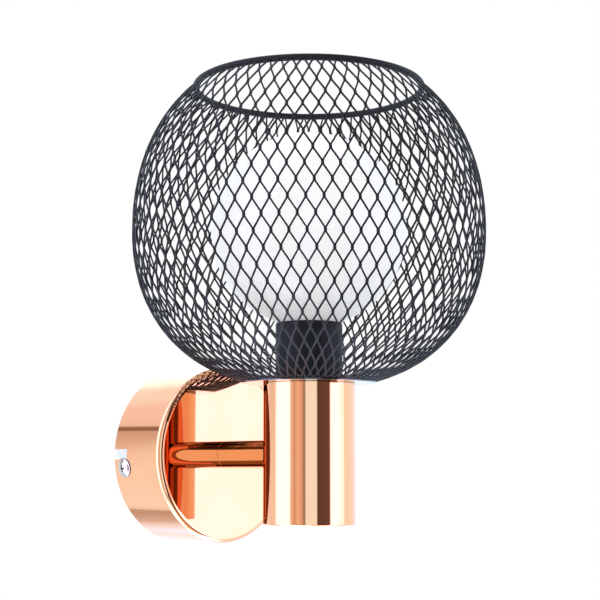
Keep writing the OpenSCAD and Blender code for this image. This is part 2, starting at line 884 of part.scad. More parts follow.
module thread_shell() {
    steps = round(shell_h / pitch * rings_per_pitch);
    top = shell_foot + shell_h;
    color("gold")
        at_lamp()
            ring_skin(concat(
                [plain_ring(shell_out_r, shell_foot), plain_ring(shell_out_r, top)],
                [for (i = [steps : -1 : 0]) wave_ring(shell_mid_r, shell_foot + shell_h * i / steps)]));
}

module bulb_cap() {
    steps = round(cap_thread_h / pitch * rings_per_pitch);
    cap_in_r = cap_mid_r - wave_h - cap_wall;
    thread_top = cap_foot + cap_thread_h;
    color("silver")
        at_lamp()
            ring_skin(concat(
                [for (i = [0 : steps]) wave_ring(cap_mid_r, cap_foot + cap_thread_h * i / steps)],
                [plain_ring(cap_mid_r, thread_top + wave_h), plain_ring(cap_mid_r, cap_top),
                    plain_ring(cap_in_r, cap_top), plain_ring(cap_in_r, cap_foot)]));
}

// Globe lamp

module bulb_globe() {
    color("white")
        at_lamp()
            difference() {
                translate([0, 0, globe_z])
                    sphere(d = globe_d);
                translate([0, 0, globe_z])
                    sphere(d = globe_d - 2 * globe_wall);
                translate([0, 0, seat_z - globe_d])
                    cylinder(r = neck_r + seat_w + over, h = globe_d);
                translate([0, 0, seat_z - over])
                    cylinder(r = neck_r, h = globe_z - seat_z);
            }
}

module bulb_collar() {
    seat_r = neck_r + seat_w;
    recess_r = neck_r - board_step;
    foot_r = cap_mid_r + cap_wall;
    hollow_r = cap_mid_r - 2 * cap_wall - wave_h;
    color("white")
        at_lamp()
            rotate_extrude()
                polygon([[hollow_r, cap_top], [foot_r, cap_top], [seat_r, seat_z - collar_straight_h],
                    [seat_r, seat_z], [recess_r, seat_z], [recess_r, seat_z - board_t],
                    [hollow_r, seat_z - board_t]]);
}

module bulb_insulator() {
    foot_w = 1;
    color("black")
        at_lamp()
            translate([0, 0, cap_foot - insulator_h])
                cylinder(d1 = tip_d + 2 * foot_w, d2 = 2 * (cap_mid_r - wave_h), h = insulator_h);
}

module bulb_tip() {
    color("silver")
        at_lamp()
            translate([0, 0, tip_z])
                cylinder(d1 = tip_d / 2, d2 = tip_d, h = tip_h);
}

module led_board() {
    color("white")
        at_lamp()
            translate([0, 0, seat_z - board_t])
                cylinder(r = neck_r - board_step - fit_gap, h = board_t);
}

module led_chips() {
    led_t = led_w / 4;
    color("khaki")
        at_lamp()
            for (led = [0 : led_count - 1])
                rotate([0, 0, led * 360 / led_count])
                    translate([led_ring_r, 0, seat_z + led_t / 2])
                        cube([led_w, led_w, led_t], center = true);
}

driver_w = 18;
driver_foot = cap_foot + 2;

module driver_board() {
    color("darkgreen")
        at_lamp()
            translate([-driver_w / 2, -board_t / 2, driver_foot])
                cube([driver_w, board_t, seat_z - board_t - driver_foot]);
}

// A capacitor and a coil on the front of the driver board, and a chip on its back
module driver_parts() {
    can_d = 7;
    can_h = 11;
    can_x = -4;
    coil_w = 7;
    coil_t = 6;
    coil_x = 0.5;
    chip_t = 3.5;
    row_z = driver_foot + 4;
    color("slategray")
        at_lamp() {
            translate([can_x, board_t / 2 + can_d / 2, row_z])
                cylinder(d = can_d, h = can_h);
            translate([coil_x, board_t / 2, row_z])
                cube([coil_w, coil_t, coil_w]);
            translate([-coil_w / 2, -board_t / 2 - chip_t, row_z])
                cube([coil_w, chip_t, coil_w]);
        }
}

// Shade

module shade_disc() {
    color("black")
        at_lamp()
            ring_z(disc_d / 2, base_r + disc_gap, disc_z, disc_top);
}

module shade_rim() {
    color("black")
        at_lamp()
            rotate_extrude()
                translate([head_r, rim_z])
                    circle(d = rim_t);
}

// A point of the mesh's outline at a given turn of its quarter arc
function mesh_point(turn, reach) = [belly_r * pow(cos(turn), 2 / square_out),
    belly_z + reach * pow(sin(turn), 2 / square_up)];

// The outline at length s from its foot, and its outward normal there, from a short stretch to both sides
near = 2;
function outline_at(s) = [lookup(s, arc_r), lookup(s, arc_z)];
function outline_normal(s) = let (d = outline_at(s + near) - outline_at(s - near)) [d[1], -d[0]] / norm(d);

// Place of row i, kept one knot inside both ends
function row_s(i) = mesh_start + knot_h + (mesh_end - mesh_start - 2 * knot_h) * i / mesh_rows;

// A point of the mesh: side is 1 outside and -1 inside, turn is in degrees
function skin_point(s, turn, side) = let (above = max(s, 0), below = min(s, 0),
    p = outline_at(above) + outline_normal(above) * side * mesh_t / 2)
    [p[0] * cos(turn), p[0] * sin(turn), p[1] + below];

// The corners of the knot in row i and column j: left, foot, right and head
function knot_points(i, j) = let (turn = (j + (i % 2) / 2) * 360 / mesh_n, w = knot_w * 360 / mesh_n)
    [for (corner = [[-w, 0], [0, -knot_h], [w, 0], [0, knot_h]], side = [1, -1])
        skin_point(row_s(i) + corner[1], turn + corner[0], side)];

mesh_points = [for (i = [0 : mesh_rows], j = [0 : mesh_n - 1], p = knot_points(i, j)) p];

// Index of a knot's corner (0 left, 1 foot, 2 right, 3 head) on the outside (0) or the inside (1)
function at(i, j, corner, face) = ((i * mesh_n + (j + mesh_n) % mesh_n) * 4 + corner) * 2 + face;

// A strip of skin on both faces, given by four [i, j, corner] places clockwise from outside
function plates(q) = [[for (k = [0 : 3]) at(q[k][0], q[k][1], q[k][2], 0)],
    [for (k = [3 : -1 : 0]) at(q[k][0], q[k][1], q[k][2], 1)]];

// The cut edge from place a to place b
function edge(a, b) = [at(b[0], b[1], b[2], 0), at(a[0], a[1], a[2], 0), at(a[0], a[1], a[2], 1),
    at(b[0], b[1], b[2], 1)];

// The knot and its two strands that run up to the right and up to the left
function knot_faces(i, j) = plates([[i, j, 0], [i, j, 3], [i, j, 2], [i, j, 1]]);
function right_faces(i, j) = let (k = j + i % 2, up = i + 1) concat(
    plates([[i, j, 3], [up, k, 0], [up, k, 1], [i, j, 2]]),
    [edge([i, j, 3], [up, k, 0]), edge([up, k, 1], [i, j, 2])]);
function left_faces(i, j) = let (k = j + i % 2 - 1, up = i + 1) concat(
    plates([[i, j, 0], [up, k, 1], [up, k, 2], [i, j, 3]]),
    [edge([i, j, 0], [up, k, 1]), edge([up, k, 2], [i, j, 3])]);

mesh_quads = [for (i = [0 : mesh_rows], j = [0 : mesh_n - 1], quad = concat(
    knot_faces(i, j),
    i < mesh_rows ? concat(right_faces(i, j), left_faces(i, j))
        : [edge([i, j, 0], [i, j, 3]), edge([i, j, 3], [i, j, 2])],
    i > 0 ? [] : [edge([i, j, 2], [i, j, 1]), edge([i, j, 1], [i, j, 0])])) quad];

module shade_mesh() {
    color("black")
        at_lamp()
            polyhedron(points = mesh_points, faces = [for (q = mesh_quads, half = [0, 1])
                half == 0 ? [q[0], q[1], q[2]] : [q[0], q[2], q[3]]]);
}

// Wires, swept along smoothed routes

// A point between p1 and p2 on the smooth curve through four route points
function smooth_point(p0, p1, p2, p3, t) = 0.5 * (2 * p1 + (p2 - p0) * t
    + (2 * p0 - 5 * p1 + 4 * p2 - p3) * t * t + (3 * p1 - p0 - 3 * p2 + p3) * t * t * t);

function smooth_route(route) = let (last = len(route) - 1) concat(
    [for (i = [0 : last - 1], k = [0 : wire_rings - 1])
        smooth_point(route[max(i - 1, 0)], route[i], route[i + 1], route[min(i + 2, last)], k / wire_rings)],
    [route[last]]);

function unit(v) = v / norm(v);

// Directions across a path, carried along it without twist
function path_tangents(path) = [for (i = [0 : len(path) - 1])
    unit(path[min(i + 1, len(path) - 1)] - path[max(i - 1, 0)])];
function across(v, tangent) = unit(v - tangent * (v * tangent));
function path_normals(tangents) = [for (i = 0, n = across([0.3, 0.9, 0.2], tangents[0]); i < len(tangents);
    i = i + 1, n = i < len(tangents) ? across(n, tangents[i]) : n) n];

module wire(route) {
    path = smooth_route(route);
    tangents = path_tangents(path);
    normals = path_normals(tangents);
    n = len(path);
    points = [for (i = [0 : n - 1], k = [0 : wire_sides - 1])
        let (turn = k * 360 / wire_sides)
            path[i] + wire_d / 2 * (cos(turn) * normals[i] + sin(turn) * cross(tangents[i], normals[i]))];
    sides = [for (i = [0 : n - 2], k = [0 : wire_sides - 1], half = [0, 1])
        let (k2 = (k + 1) % wire_sides, a = i * wire_sides + k, b = i * wire_sides + k2,
            c = (i + 1) * wire_sides + k2, d = (i + 1) * wire_sides + k)
            half == 0 ? [a, d, c] : [a, c, b]];
    ends = [[for (k = [0 : wire_sides - 1]) k],
        [for (k = [wire_sides - 1 : -1 : 0]) (n - 1) * wire_sides + k]];
    polyhedron(points = points, faces = concat(sides, ends));
}

module live_wire() { color("saddlebrown") wire(live_route); }
module neutral_wire() { color("royalblue") wire(neutral_route); }
module earth_wire() { color("yellowgreen") wire(earth_route); }

mounting_bracket();
cup_screw_left();
cup_screw_right();
earth_screw();
earth_washer();
wall_cup();
carrier_plate();
terminal_block();
terminal_tubes();
terminal_screws();
block_screw();
arm_rod();
toothed_washer();
rear_nut();
arm_tube();
saddle_washer();
front_nut();
lamp_cup();
holder_bracket();
nipple();
nipple_nut();
nipple_washer();
holder_base();
holder_insert();
thread_shell();
centre_contact();
side_contact();
holder_terminals();
holder_screws();
holder_skirt();
shade_disc();
shade_mesh();
shade_rim();
live_wire();
neutral_wire();
earth_wire();
earth_lug();
bulb_globe();
bulb_collar();
bulb_cap();
bulb_insulator();
bulb_tip();
led_board();
led_chips();
driver_board();
driver_parts();
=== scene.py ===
# %% [markdown]
# A wall lamp with a copper foot and a shade of expanded metal
#
# This file is a lesson in cells. It dresses a finished CAD model of a wall lamp, so that it looks like the
# real one in a photograph: a mirror-polished copper cup on the wall, a short copper tube, an upright copper
# cup that carries a black lampholder with an opal globe lamp, and round the globe a shade of black expanded
# metal. The CAD model is loaded first. It fixes every size and place, so each new piece is drawn straight
# where the CAD says, in metres, and the lamp is never fitted by eye.

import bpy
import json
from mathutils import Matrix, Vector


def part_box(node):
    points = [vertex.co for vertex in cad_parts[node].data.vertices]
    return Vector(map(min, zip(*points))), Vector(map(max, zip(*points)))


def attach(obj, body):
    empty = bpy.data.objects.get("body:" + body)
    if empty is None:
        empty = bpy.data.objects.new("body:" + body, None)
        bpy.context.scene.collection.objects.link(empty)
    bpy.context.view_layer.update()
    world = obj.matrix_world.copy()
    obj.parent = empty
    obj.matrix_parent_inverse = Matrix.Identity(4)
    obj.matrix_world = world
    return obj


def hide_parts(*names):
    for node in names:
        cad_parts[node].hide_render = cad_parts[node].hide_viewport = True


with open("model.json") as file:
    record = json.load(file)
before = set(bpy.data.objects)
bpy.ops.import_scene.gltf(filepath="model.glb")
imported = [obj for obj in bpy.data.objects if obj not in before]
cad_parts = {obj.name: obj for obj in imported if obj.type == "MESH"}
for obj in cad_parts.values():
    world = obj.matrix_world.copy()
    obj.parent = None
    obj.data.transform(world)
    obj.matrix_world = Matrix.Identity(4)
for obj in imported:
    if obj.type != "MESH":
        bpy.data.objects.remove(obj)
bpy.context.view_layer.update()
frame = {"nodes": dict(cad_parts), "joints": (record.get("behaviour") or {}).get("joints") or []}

# %% [markdown]
# The sizes that several pieces share are read from the boxes of the CAD nodes. They are kept in
# millimetres, as on a drawing, and become metres when a piece is drawn.

# %% Shared sizes, in millimetres
import json
import math

import bpy
from mathutils import Vector

MM = 0.001


def box_mm(node):
    """The lowest and highest corner of a CAD node, in millimetres."""
    low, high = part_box(node)
    return low / MM, high / MM


def radius_mm(node):
    """Half the width of a round CAD node, in millimetres."""
    low, high = box_mm(node)
    return (high.x - low.x) / 2


lamp_low, lamp_high = box_mm("lamp_cup")
LAMP_R, LAMP_Y = radius_mm("lamp_cup"), (lamp_high.y + lamp_low.y) / 2
LAMP_AXIS, FORWARD = (0, LAMP_Y, 0), (math.pi / 2, 0, 0)
WALL_R, WALL_DEPTH = radius_mm("wall_cup"), -box_mm("wall_cup")[0].y
disc_low, disc_high = box_mm("shade_disc")
DISC_R, DISC_TOP = radius_mm("shade_disc"), disc_high.z
rim_low, rim_high = box_mm("shade_rim")
RIM_BAR, RIM_Z = rim_high.z - rim_low.z, (rim_high.z + rim_low.z) / 2
RIM_R = radius_mm("shade_rim") - RIM_BAR / 2
twist_joint = next(joint for joint in frame["joints"] if joint["name"] == "cup_twist")
LOCK_TURN = math.radians(max(twist_joint["range_deg"]))
print(f"lamp cup {2 * LAMP_R:.1f} mm wide, wall cup {2 * WALL_R:.1f} mm, lamp axis {-LAMP_Y:.1f} mm out")

# %% [markdown]
# The camera
#
# The photograph was taken from the front left, a touch below the middle of the lamp. Its camera was worked
# out beforehand from the sizes of the holder, the cups and the rows of the mesh: where it stands, how long
# its lens is, and which point of the lamp lies at which place in the picture. A camera could also be turned
# by hand until the render looks right, but a distance that is a little wrong then hides in the perspective
# of the rim.

# %% The camera
PICTURE = 600
FOCAL = 1434.1
AWAY = 0.8636
AXIS_AT = (309.03, 453.64)
azimuth, elevation = math.radians(-45.36), math.radians(-0.70)
to_camera = Vector((math.sin(azimuth) * math.cos(elevation), -math.cos(azimuth) * math.cos(elevation),
                    math.sin(elevation)))
picture_right = Vector((math.cos(azimuth), math.sin(azimuth), 0))
picture_up = to_camera.cross(picture_right)

lamp_axis = Vector(LAMP_AXIS) * MM
pixel = AWAY / FOCAL
aim = (lamp_axis - picture_right * (AXIS_AT[0] - PICTURE / 2) * pixel
       + picture_up * (AXIS_AT[1] - PICTURE / 2) * pixel)
camera_data = bpy.data.cameras.new("camera")
camera_data.sensor_width = 36
camera_data.lens = FOCAL / PICTURE * camera_data.sensor_width
camera = bpy.data.objects.new("camera", camera_data)
camera.location = lamp_axis + to_camera * AWAY
camera.rotation_euler = (aim - camera.location).to_track_quat("-Z", "Y").to_euler()
bpy.context.scene.collection.objects.link(camera)
bpy.context.scene.camera = camera
print(f"camera at {[round(x, 3) for x in camera.location]}, lens {camera_data.lens:.1f} mm")

# %% [markdown]
# Shader maths
#
# A procedural material is a graph of small nodes, and most of them are sums. The class below wraps one
# output of a node, so that a graph can be written as an ordinary expression: `1 - mask * 0.5` adds the Math
# nodes for it. Any other node comes from its one method `node`, which takes the node's type, its settings
# and what goes into its sockets.

# %% A flow through a node tree
class Flow:
    """One output of a node. Sums with numbers or other flows add Math nodes; colours go through mix."""

    def __init__(self, tree, socket=None):
        self.tree, self.socket = tree, socket

    def node(self, kind, settings=None, sockets=None, out=0):
        made = self.tree.nodes.new("ShaderNode" + kind)
        for name, value in (settings or {}).items():
            if name == "stops":
                stops = made.color_ramp.elements
                stops[0].position, stops[-1].position = value[0][0], value[-1][0]
                for place, _ in value[1:-1]:
                    stops.new(place)
                for stop, (_, colour) in zip(stops, value):
                    stop.color = (*colour, 1)
            else:
                setattr(made, name, value)
        for name, value in (sockets or {}).items():
            if isinstance(value, Flow):
                self.tree.links.new(value.socket, made.inputs[name])
            else:
                made.inputs[name].default_value = value
        return Flow(self.tree, made.outputs[out] if len(made.outputs) else None)

    def math(self, operation, first, second=0.0):
        return self.node("Math", {"operation": operation}, {0: first, 1: second})

    def mix(self, first, second):
        """Colour first where this flow is 0, colour second where it is 1."""
        ends = [(*end, 1) if isinstance(end, tuple) else end for end in (first, second)]
        return self.node("Mix", {"data_type": "RGBA"}, {0: self, 6: ends[0], 7: ends[1]}, out=2)

    def step(self, low, high):
        """0 where this flow is below low, 1 above high, with a soft step between."""
        return self.node("MapRange", {"interpolation_type": "SMOOTHSTEP"},
                         {"Value": self, "From Min": low, "From Max": high})

    def scaled(self, factor):
        """This vector or colour, times a number or a flow."""
        return self.node("VectorMath", {"operation": "SCALE"}, {0: self, "Scale": factor})

    def times(self, other):
        """This colour multiplied by another, channel by channel."""
        return self.node("VectorMath", {"operation": "MULTIPLY"}, {0: self, 1: other})

    def along(self, axis):
        """How far this vector reaches along an axis."""
        return self.node("VectorMath", {"operation": "DOT_PRODUCT"}, {0: self, 1: tuple(axis)}, out="Value")

    def __add__(self, other):
        return self.math("ADD", self, other)

    def __radd__(self, other):
        return self.math("ADD", other, self)

    def __rsub__(self, other):
        return self.math("SUBTRACT", other, self)

    def __mul__(self, other):
        return self.math("MULTIPLY", self, other)

    def __truediv__(self, other):
        return self.math("DIVIDE", self, other)


def blank(owner):
    """Empties the node tree of a world or a material, and returns it as a flow."""
    owner.use_nodes = True
    owner.node_tree.nodes.clear()
    return Flow(owner.node_tree)


print("shader maths is ready")

# %% [markdown]
# The studio
#
# Polished metal has hardly a colour of its own: what one sees on it is the room. In the photograph the lamp
# cup shows the room as upright stripes, and each stripe can be read as a direction, because a cylinder
# sends the camera's line of sight off by twice the angle of its surface. There is a very bright soft box on
# either side, a white wall behind the camera, a black flag between that wall and the right-hand box, and
# grey where the left box ends. Those could be built as cards round the lamp. Here the world itself is
# painted by direction instead, because it has no noise, and only mirror reflections need it: matt surfaces
# get one even, plain light.

# %% The room by direction
studio = bpy.data.worlds.new("studio")
bpy.context.scene.world = studio
room = blank(studio)
direction = room.node("TexCoord", out="Generated")
height = direction.along((0, 0, 1))
turn = room.math("ARCTAN2", direction.along(picture_right), direction.along((to_camera.x, to_camera.y, 0)))
turn = turn * math.degrees(1)


def ramp(at, stops, strongest=1.0):
    """A colour along a flow from 0 to 1. A ramp's colours end at 1, so light is scaled down and up again."""
    parts = [(place, tuple(light / strongest for light in colour)) for place, colour in stops]
    return at.node("ValToRGB", {"stops": parts}, {"Fac": at}).scaled(strongest)


# Light of the room at each turn from the camera, in degrees, positive to the right; 1 is a white card.
# The room's white is cool, because the copper is warm and still mirrors it almost white.
COOL, SOFT_BOX, FLAG = (1.05, 1.5, 1.95), (2.7, 2.6, 3.9), (0.34, 0.36, 0.38)
REAR, REAR_RIGHT = (1.06, 1.34, 1.62), (1.0, 1.08, 1.32)
STRIPES = [
    (-180, REAR_RIGHT), (-170, REAR), (-92, REAR), (-88, SOFT_BOX), (-51, SOFT_BOX), (-46, (0.95, 1.0, 1.1)),
    (-36, (0.75, 0.58, 0.53)), (-28, (1.0, 0.90, 0.85)), (-16, (0.75, 0.57, 0.6)), (-13, FLAG), (-11, FLAG),
    (-7, COOL), (18, COOL), (21, (0.12, 0.09, 0.09)), (52, (0.16, 0.11, 0.13)), (56, SOFT_BOX),
    (80, SOFT_BOX), (84, (2.5, 2.2, 3.4)), (96, (2.3, 2.05, 2.8)), (99, REAR), (145, REAR),
    (160, REAR_RIGHT), (180, REAR_RIGHT)]
STRONGEST = 3.9
stripes = ramp(turn / 360 + 0.5, [((place + 180) / 360, colour) for place, colour in STRIPES], STRONGEST)
print(len(STRIPES), "stops of light and dark round the lamp")

# %% [markdown]
# It is dark above and below the gap between the camera's wall and the right-hand box, which the arm shows
# as two dark lines along its length. Soft steps in turn and height mark those places, and the strongest of
# them counts.

# %% Dark places above and below
above = turn.step(4, 9) * (1 - turn.step(94, 98)) * height.step(0.42, 0.50)
beside = turn.step(72, 82) * (1 - turn.step(94, 98)) * height.step(0.16, 0.24)
below = turn.step(4, 9) * (1 - turn.step(82, 88)) * (1 - height.step(-0.59, -0.52))
dark_ends = room.math("MAXIMUM", room.math("MAXIMUM", above, beside), below)
DARK_TINT = (0.30, 0.22, 0.16)
print("dark places are marked")

# %% [markdown]
# Behind the lamp stands a sweep of paper that the wall cup's side mirrors. Its edge is a thin dark line,
# below that it lightens downwards, and it ends in a brown band with the white table under it. One ramp runs
# up the sweep, from straight down at 0 to straight up at 1, and a second one runs round the table.

# %% The sweep and the table behind the lamp
UP_THE_SWEEP = [
    (0, (1.0, 1.0, 1.0)), (0.40, (1.0, 0.96, 0.97)), (0.50, (0.94, 0.82, 0.80)), (0.60, (0.75, 0.62, 0.57)),
    (0.664, (0.66, 0.52, 0.48)), (0.674, (0.30, 0.20, 0.15)), (0.690, (0.30, 0.20, 0.15)),
    (0.702, (0.90, 0.80, 0.80)), (0.76, (0.96, 0.83, 0.86)), (0.85, (0.97, 0.79, 0.90)),
    (1, (0.98, 0.82, 0.93))]
ROUND_THE_TABLE = [
    (0, (1.1, 1.35, 1.9)), (0.11, (1.1, 1.3, 1.8)), (0.144, (1.0, 1.1, 1.3)), (0.178, (0.95, 0.88, 0.92)),
    (0.206, (0.72, 0.62, 0.60)), (0.267, (0.60, 0.46, 0.40)), (0.295, (0.58, 0.44, 0.36)),
    (0.305, (0.88, 0.82, 0.78)), (0.33, (1.0, 1.0, 1.0)), (1, (1.0, 1.0, 1.0))]
STRONGEST_TABLE = 2.2
sweep = ramp(height / 2 + 0.5, UP_THE_SWEEP)
table = ramp(turn / 180 + 1, ROUND_THE_TABLE, STRONGEST_TABLE)
behind = 1 - turn.step(-98, -92)
on_the_sweep = behind * turn.step(-128, -114)
on_the_table = behind * (1 - height.step(-0.60, -0.45))
print(len(UP_THE_SWEEP), "stops up the sweep,", len(ROUND_THE_TABLE), "round the table")

# %% [markdown]
# Copper loses some light each time it mirrors itself, and the photograph shows those deeper reflections
# darker than a plain shader does: the right-hand box is hardly seen in second ones, and third ones are dim.
# Light Path counts the mirrors that a ray has met, so the room can be dimmed for them alone. The upper left
# is lit a little more and the floor far more, for the undersides of the strands. Matt surfaces see none of
# this, only one even light, and the camera sees white.

# %% The world's light
bounces = room.node("LightPath", out="Glossy Depth")
second, third = bounces.step(1.4, 1.6), bounces.step(2.4, 2.6)
hidden = second * turn.step(46, 52) * (1 - turn.step(72, 80))
HIDDEN_TINT = (0.13, 0.11, 0.05)
top = (1 - turn.step(-156, -138)) * height.step(0.1, 0.3)
floodlit = 1 - height.step(-0.86, -0.74)
plain = (1.0, 1.0, 1.0)
tints = dark_ends.mix(stripes, DARK_TINT).times(on_the_sweep.mix(plain, sweep))
tints = tints.times(on_the_table.mix(plain, table)).times(hidden.mix(plain, HIDDEN_TINT))
mirrored = tints.scaled((1 + top * 0.45) * (1 + floodlit * 2.5) * (1 - third * 0.6))

EVEN = 0.80
seen = room.math("MAXIMUM", room.node("LightPath", out="Is Camera Ray"),
                 room.node("LightPath", out="Is Transmission Ray"))
glossy = room.node("LightPath", out="Is Glossy Ray")
light = seen.mix(glossy.mix((EVEN, EVEN, EVEN), mirrored), plain)
background = room.node("Background", sockets={"Color": light})
room.node("OutputWorld", sockets={"Surface": background})
print("the world lights matt surfaces at", EVEN)

# %% [markdown]
# Even light alone makes matt pieces look flat, so two large soft lamps model them a little: one high at the
# left, as a window, and a weaker one on the right. They are hidden from mirror reflections, where the
# room's stripes already do the work.

# %% Two soft lamps
LIT_AT = 120


def soft_lamp(name, place, size, power):
    """A square area lamp that looks at the lamp's globe."""
    fresh()
    bpy.ops.object.light_add(type="AREA", location=place)
    lamp = bpy.context.object
    lamp.name = name
    lamp.data.size, lamp.data.energy = size, power
    look = Vector((0, LAMP_Y, LIT_AT)) * MM - Vector(place)
    lamp.rotation_euler = look.to_track_quat("-Z", "Y").to_euler()
    lamp.visible_glossy = False
    return lamp


def fresh():
    """Back to object mode with nothing selected."""
    if bpy.context.object and bpy.context.object.mode != "OBJECT":
        bpy.ops.object.mode_set(mode="OBJECT")
    bpy.ops.object.select_all(action="DESELECT")


soft_lamp("window_left", (-1.3, -1.1, 1.3), 1.2, 9)
soft_lamp("fill_right", (1.3, -1.0, 0.5), 1.2, 3)
bpy.context.scene.view_settings.view_transform = "Standard"
print("two soft lamps")

# %% [markdown]
# Helpers for modelling
#
# In a script, faces and edges are picked by what is known about them, such as their place or their normal,
# and the operators then act on them as they do after clicks in a window. The helpers below pick, bring a
# piece's place into its mesh, apply a modifier and draw simple cutters.

# %% Pick, settle, modify
def only(piece):
    """Selects one piece alone."""
    fresh()
    piece.select_set(True)
    bpy.context.view_layer.objects.active = piece


def edit(piece):
    """Opens a piece in edit mode with everything in it selected."""
    only(piece)
    bpy.ops.object.mode_set(mode="EDIT")
    bpy.ops.mesh.select_all(action="SELECT")


def pick(kind, test):
    """In edit mode, selects the faces or edges that pass a test, and says how many."""
    mesh = bpy.context.object.data
    bpy.ops.mesh.select_mode(type=kind)
    bpy.ops.mesh.select_all(action="DESELECT")
    bpy.ops.object.mode_set(mode="OBJECT")
    if kind == "FACE":
        places = [(face, face.center) for face in mesh.polygons]
    else:
        corners = mesh.vertices
        places = [(edge, sum((corners[i].co for i in edge.vertices), Vector()) / 2) for edge in mesh.edges]
    found = 0
    for element, place in places:
        element.select = bool(test(place, element))
        found += element.select
    bpy.ops.object.mode_set(mode="EDIT")
    return found


def settle(piece, place=None, turn=None):
    """Moves a piece to a place in millimetres, turns it, and brings that and its scale into its mesh."""
    if place:
        piece.location = Vector(place) * MM
    if turn:
        piece.rotation_euler = turn
    only(piece)
    bpy.ops.object.transform_apply(location=True, rotation=True, scale=True)
    return piece


def modify(piece, kind, **settings):
    """Adds a modifier to a piece and applies it."""
    only(piece)
    modifier = piece.modifiers.new(kind.lower(), kind)
    for name, value in settings.items():
        setattr(modifier, name, value)
    bpy.ops.object.modifier_apply(modifier=modifier.name)


def face_out():
    """In edit mode, turns all faces outward and closes the edit."""
    bpy.ops.mesh.select_all(action="SELECT")
    bpy.ops.mesh.normals_make_consistent(inside=False)
    bpy.ops.object.mode_set(mode="OBJECT")


def polish(piece, angle=30):
    """Merges doubles, turns the faces outward, and shades smooth up to an angle."""
    edit(piece)
    bpy.ops.mesh.remove_doubles(threshold=1e-6)
    face_out()
    bpy.ops.object.shade_smooth_by_angle(angle=math.radians(angle))
    return piece


def block(place, size, turn=0.0):
    """A box shape at a place, with sizes in millimetres, turned about the vertical."""
    fresh()
    bpy.ops.mesh.primitive_cube_add(size=1, location=Vector(place) * MM, rotation=(0, 0, turn))
    bpy.context.object.scale = Vector(size) * MM
    return settle(bpy.context.object)


def rod(place, radius, length, turn=(0, 0, 0), sides=96):
    """A cylinder shape at a place, with sizes in millimetres."""
    fresh()
    bpy.ops.mesh.primitive_cylinder_add(vertices=sides, radius=radius * MM, depth=length * MM,
                                        location=Vector(place) * MM, rotation=turn)
    return settle(bpy.context.object)


def cut(piece, cutter):
    """Takes the cutter's shape out of a piece, and removes the cutter."""
    modify(piece, "BOOLEAN", object=cutter, operation="DIFFERENCE", solver="EXACT", use_self=True)
    bpy.data.objects.remove(cutter)


print("helpers for modelling are ready")

# %% [markdown]
# Nearly every part of this lamp is spun or turned, so one helper draws turned pieces the way a potter pulls
# up a wall: a circle is added, and then extruded and scaled from ring to ring up a profile. A screw
# modifier on a drawn outline would do too, but here every ring is a plain extrude and scale. A second
# helper rounds the corners of a profile, and adds a close ring beside each rounding. Without those the
# shading of a rounding would spread over the flat beside it, and a mirror shows that at once.

# %% Turned pieces
def rounded(corners, steps=5, closed=True):
    """Rings (radius, height) along a profile whose corners are (radius, height, rounding)."""
    rings = []
    count = len(corners)
    for i, (r, h, rounding) in enumerate(corners):
        here = Vector((r, h))
        if not rounding or (not closed and i in (0, count - 1)):
            rings.append((r, h))
            continue
        before, after = (Vector(corners[(i + k) % count][:2]) - here for k in (-1, 1))
        reach = rounding / math.tan(before.angle(after) / 2)
        a, b = before.normalized(), after.normalized()
        centre = here + (a + b).normalized() * rounding / math.sin(before.angle(after) / 2)
        if before.length > 3 * reach + 0.5:
            rings.append(tuple(here + a * (reach + 0.08)))
        start, end = here + a * reach - centre, here + b * reach - centre
        sweep = start.angle(end)
        for k in range(steps + 1):
            part = k / steps
            spoke = (start * math.sin((1 - part) * sweep) + end * math.sin(part * sweep)) / math.sin(sweep)
            rings.append(tuple(centre + spoke))
        if after.length > 3 * reach + 0.5:
            rings.append(tuple(here + b * (reach + 0.08)))
    return rings


def first_ring(name, r, h, sides):
    """A circle of edges, left open in edit mode with all of it selected."""
    fresh()
    bpy.ops.mesh.primitive_circle_add(vertices=sides, radius=r * MM, location=(0, 0, h * MM))
    piece = bpy.context.object
    piece.name = piece.data.name = name
    settle(piece)
    edit(piece)
    bpy.ops.mesh.select_mode(type="EDGE")
    return piece


def pull_up(rings):
    """Extrudes and scales the selected circle from ring to ring."""
    for (r, h), (next_r, next_h) in zip(rings, rings[1:]):
        bpy.ops.mesh.extrude_region_move(TRANSFORM_OT_translate={"value": (0, 0, (next_h - h) * MM)})
        bpy.ops.transform.resize(value=(next_r / r, next_r / r, 1), center_override=(0, 0, 0))


def turned(name, rings, sides=256, closed=True):
    """Pulls a circle up a profile given in millimetres. An open profile gets its two ends filled."""
    piece = first_ring(name, *rings[0], sides)
    if not closed:
        bpy.ops.mesh.edge_face_add()
    pull_up(rings + (rings[:1] if closed else []))
    return polish(piece)


print("turned pieces are ready")

# %% [markdown]
# Finishes
#
# Each finish is one material with a Principled shader. A helper starts it: it sets what is the same all
# over the surface on the shader's own sockets, and returns the object's coordinates in millimetres for what
# varies. They move with the piece, so a pattern stays put.

# %% Start a finish
def finish(name, uniform=None):
    """A new material: its shader, and its coordinates in millimetres as a flow."""
    material = bpy.data.materials.new(name)
    tree = blank(material)
    shader = tree.node("BsdfPrincipled", sockets=uniform)
    tree.node("OutputMaterial", sockets={"Surface": shader})
    return material, shader.socket.node, tree.node("TexCoord", out="Object").scaled(1 / MM)


def feed(shader, socket, flow):
    """Joins a flow to one socket of a shader."""
    flow.tree.links.new(flow.socket, shader.inputs[socket])


def noise(places, scale, detail=2.0, rough=0.5):
    """Even noise from 0 to 1, with about scale bumps in a millimetre."""
    return places.node("TexNoise", {"normalize": True},
                       {"Vector": places, "Scale": scale, "Detail": detail, "Roughness": rough}, out="Fac")


def bump(shader, flow, distance, amount):
    """Raises the surface where the flow is high, by up to distance in millimetres."""
    raised = {"Height": flow, "Distance": distance * MM, "Strength": amount}
    feed(shader, "Normal", flow.node("Bump", sockets=raised, out="Normal"))


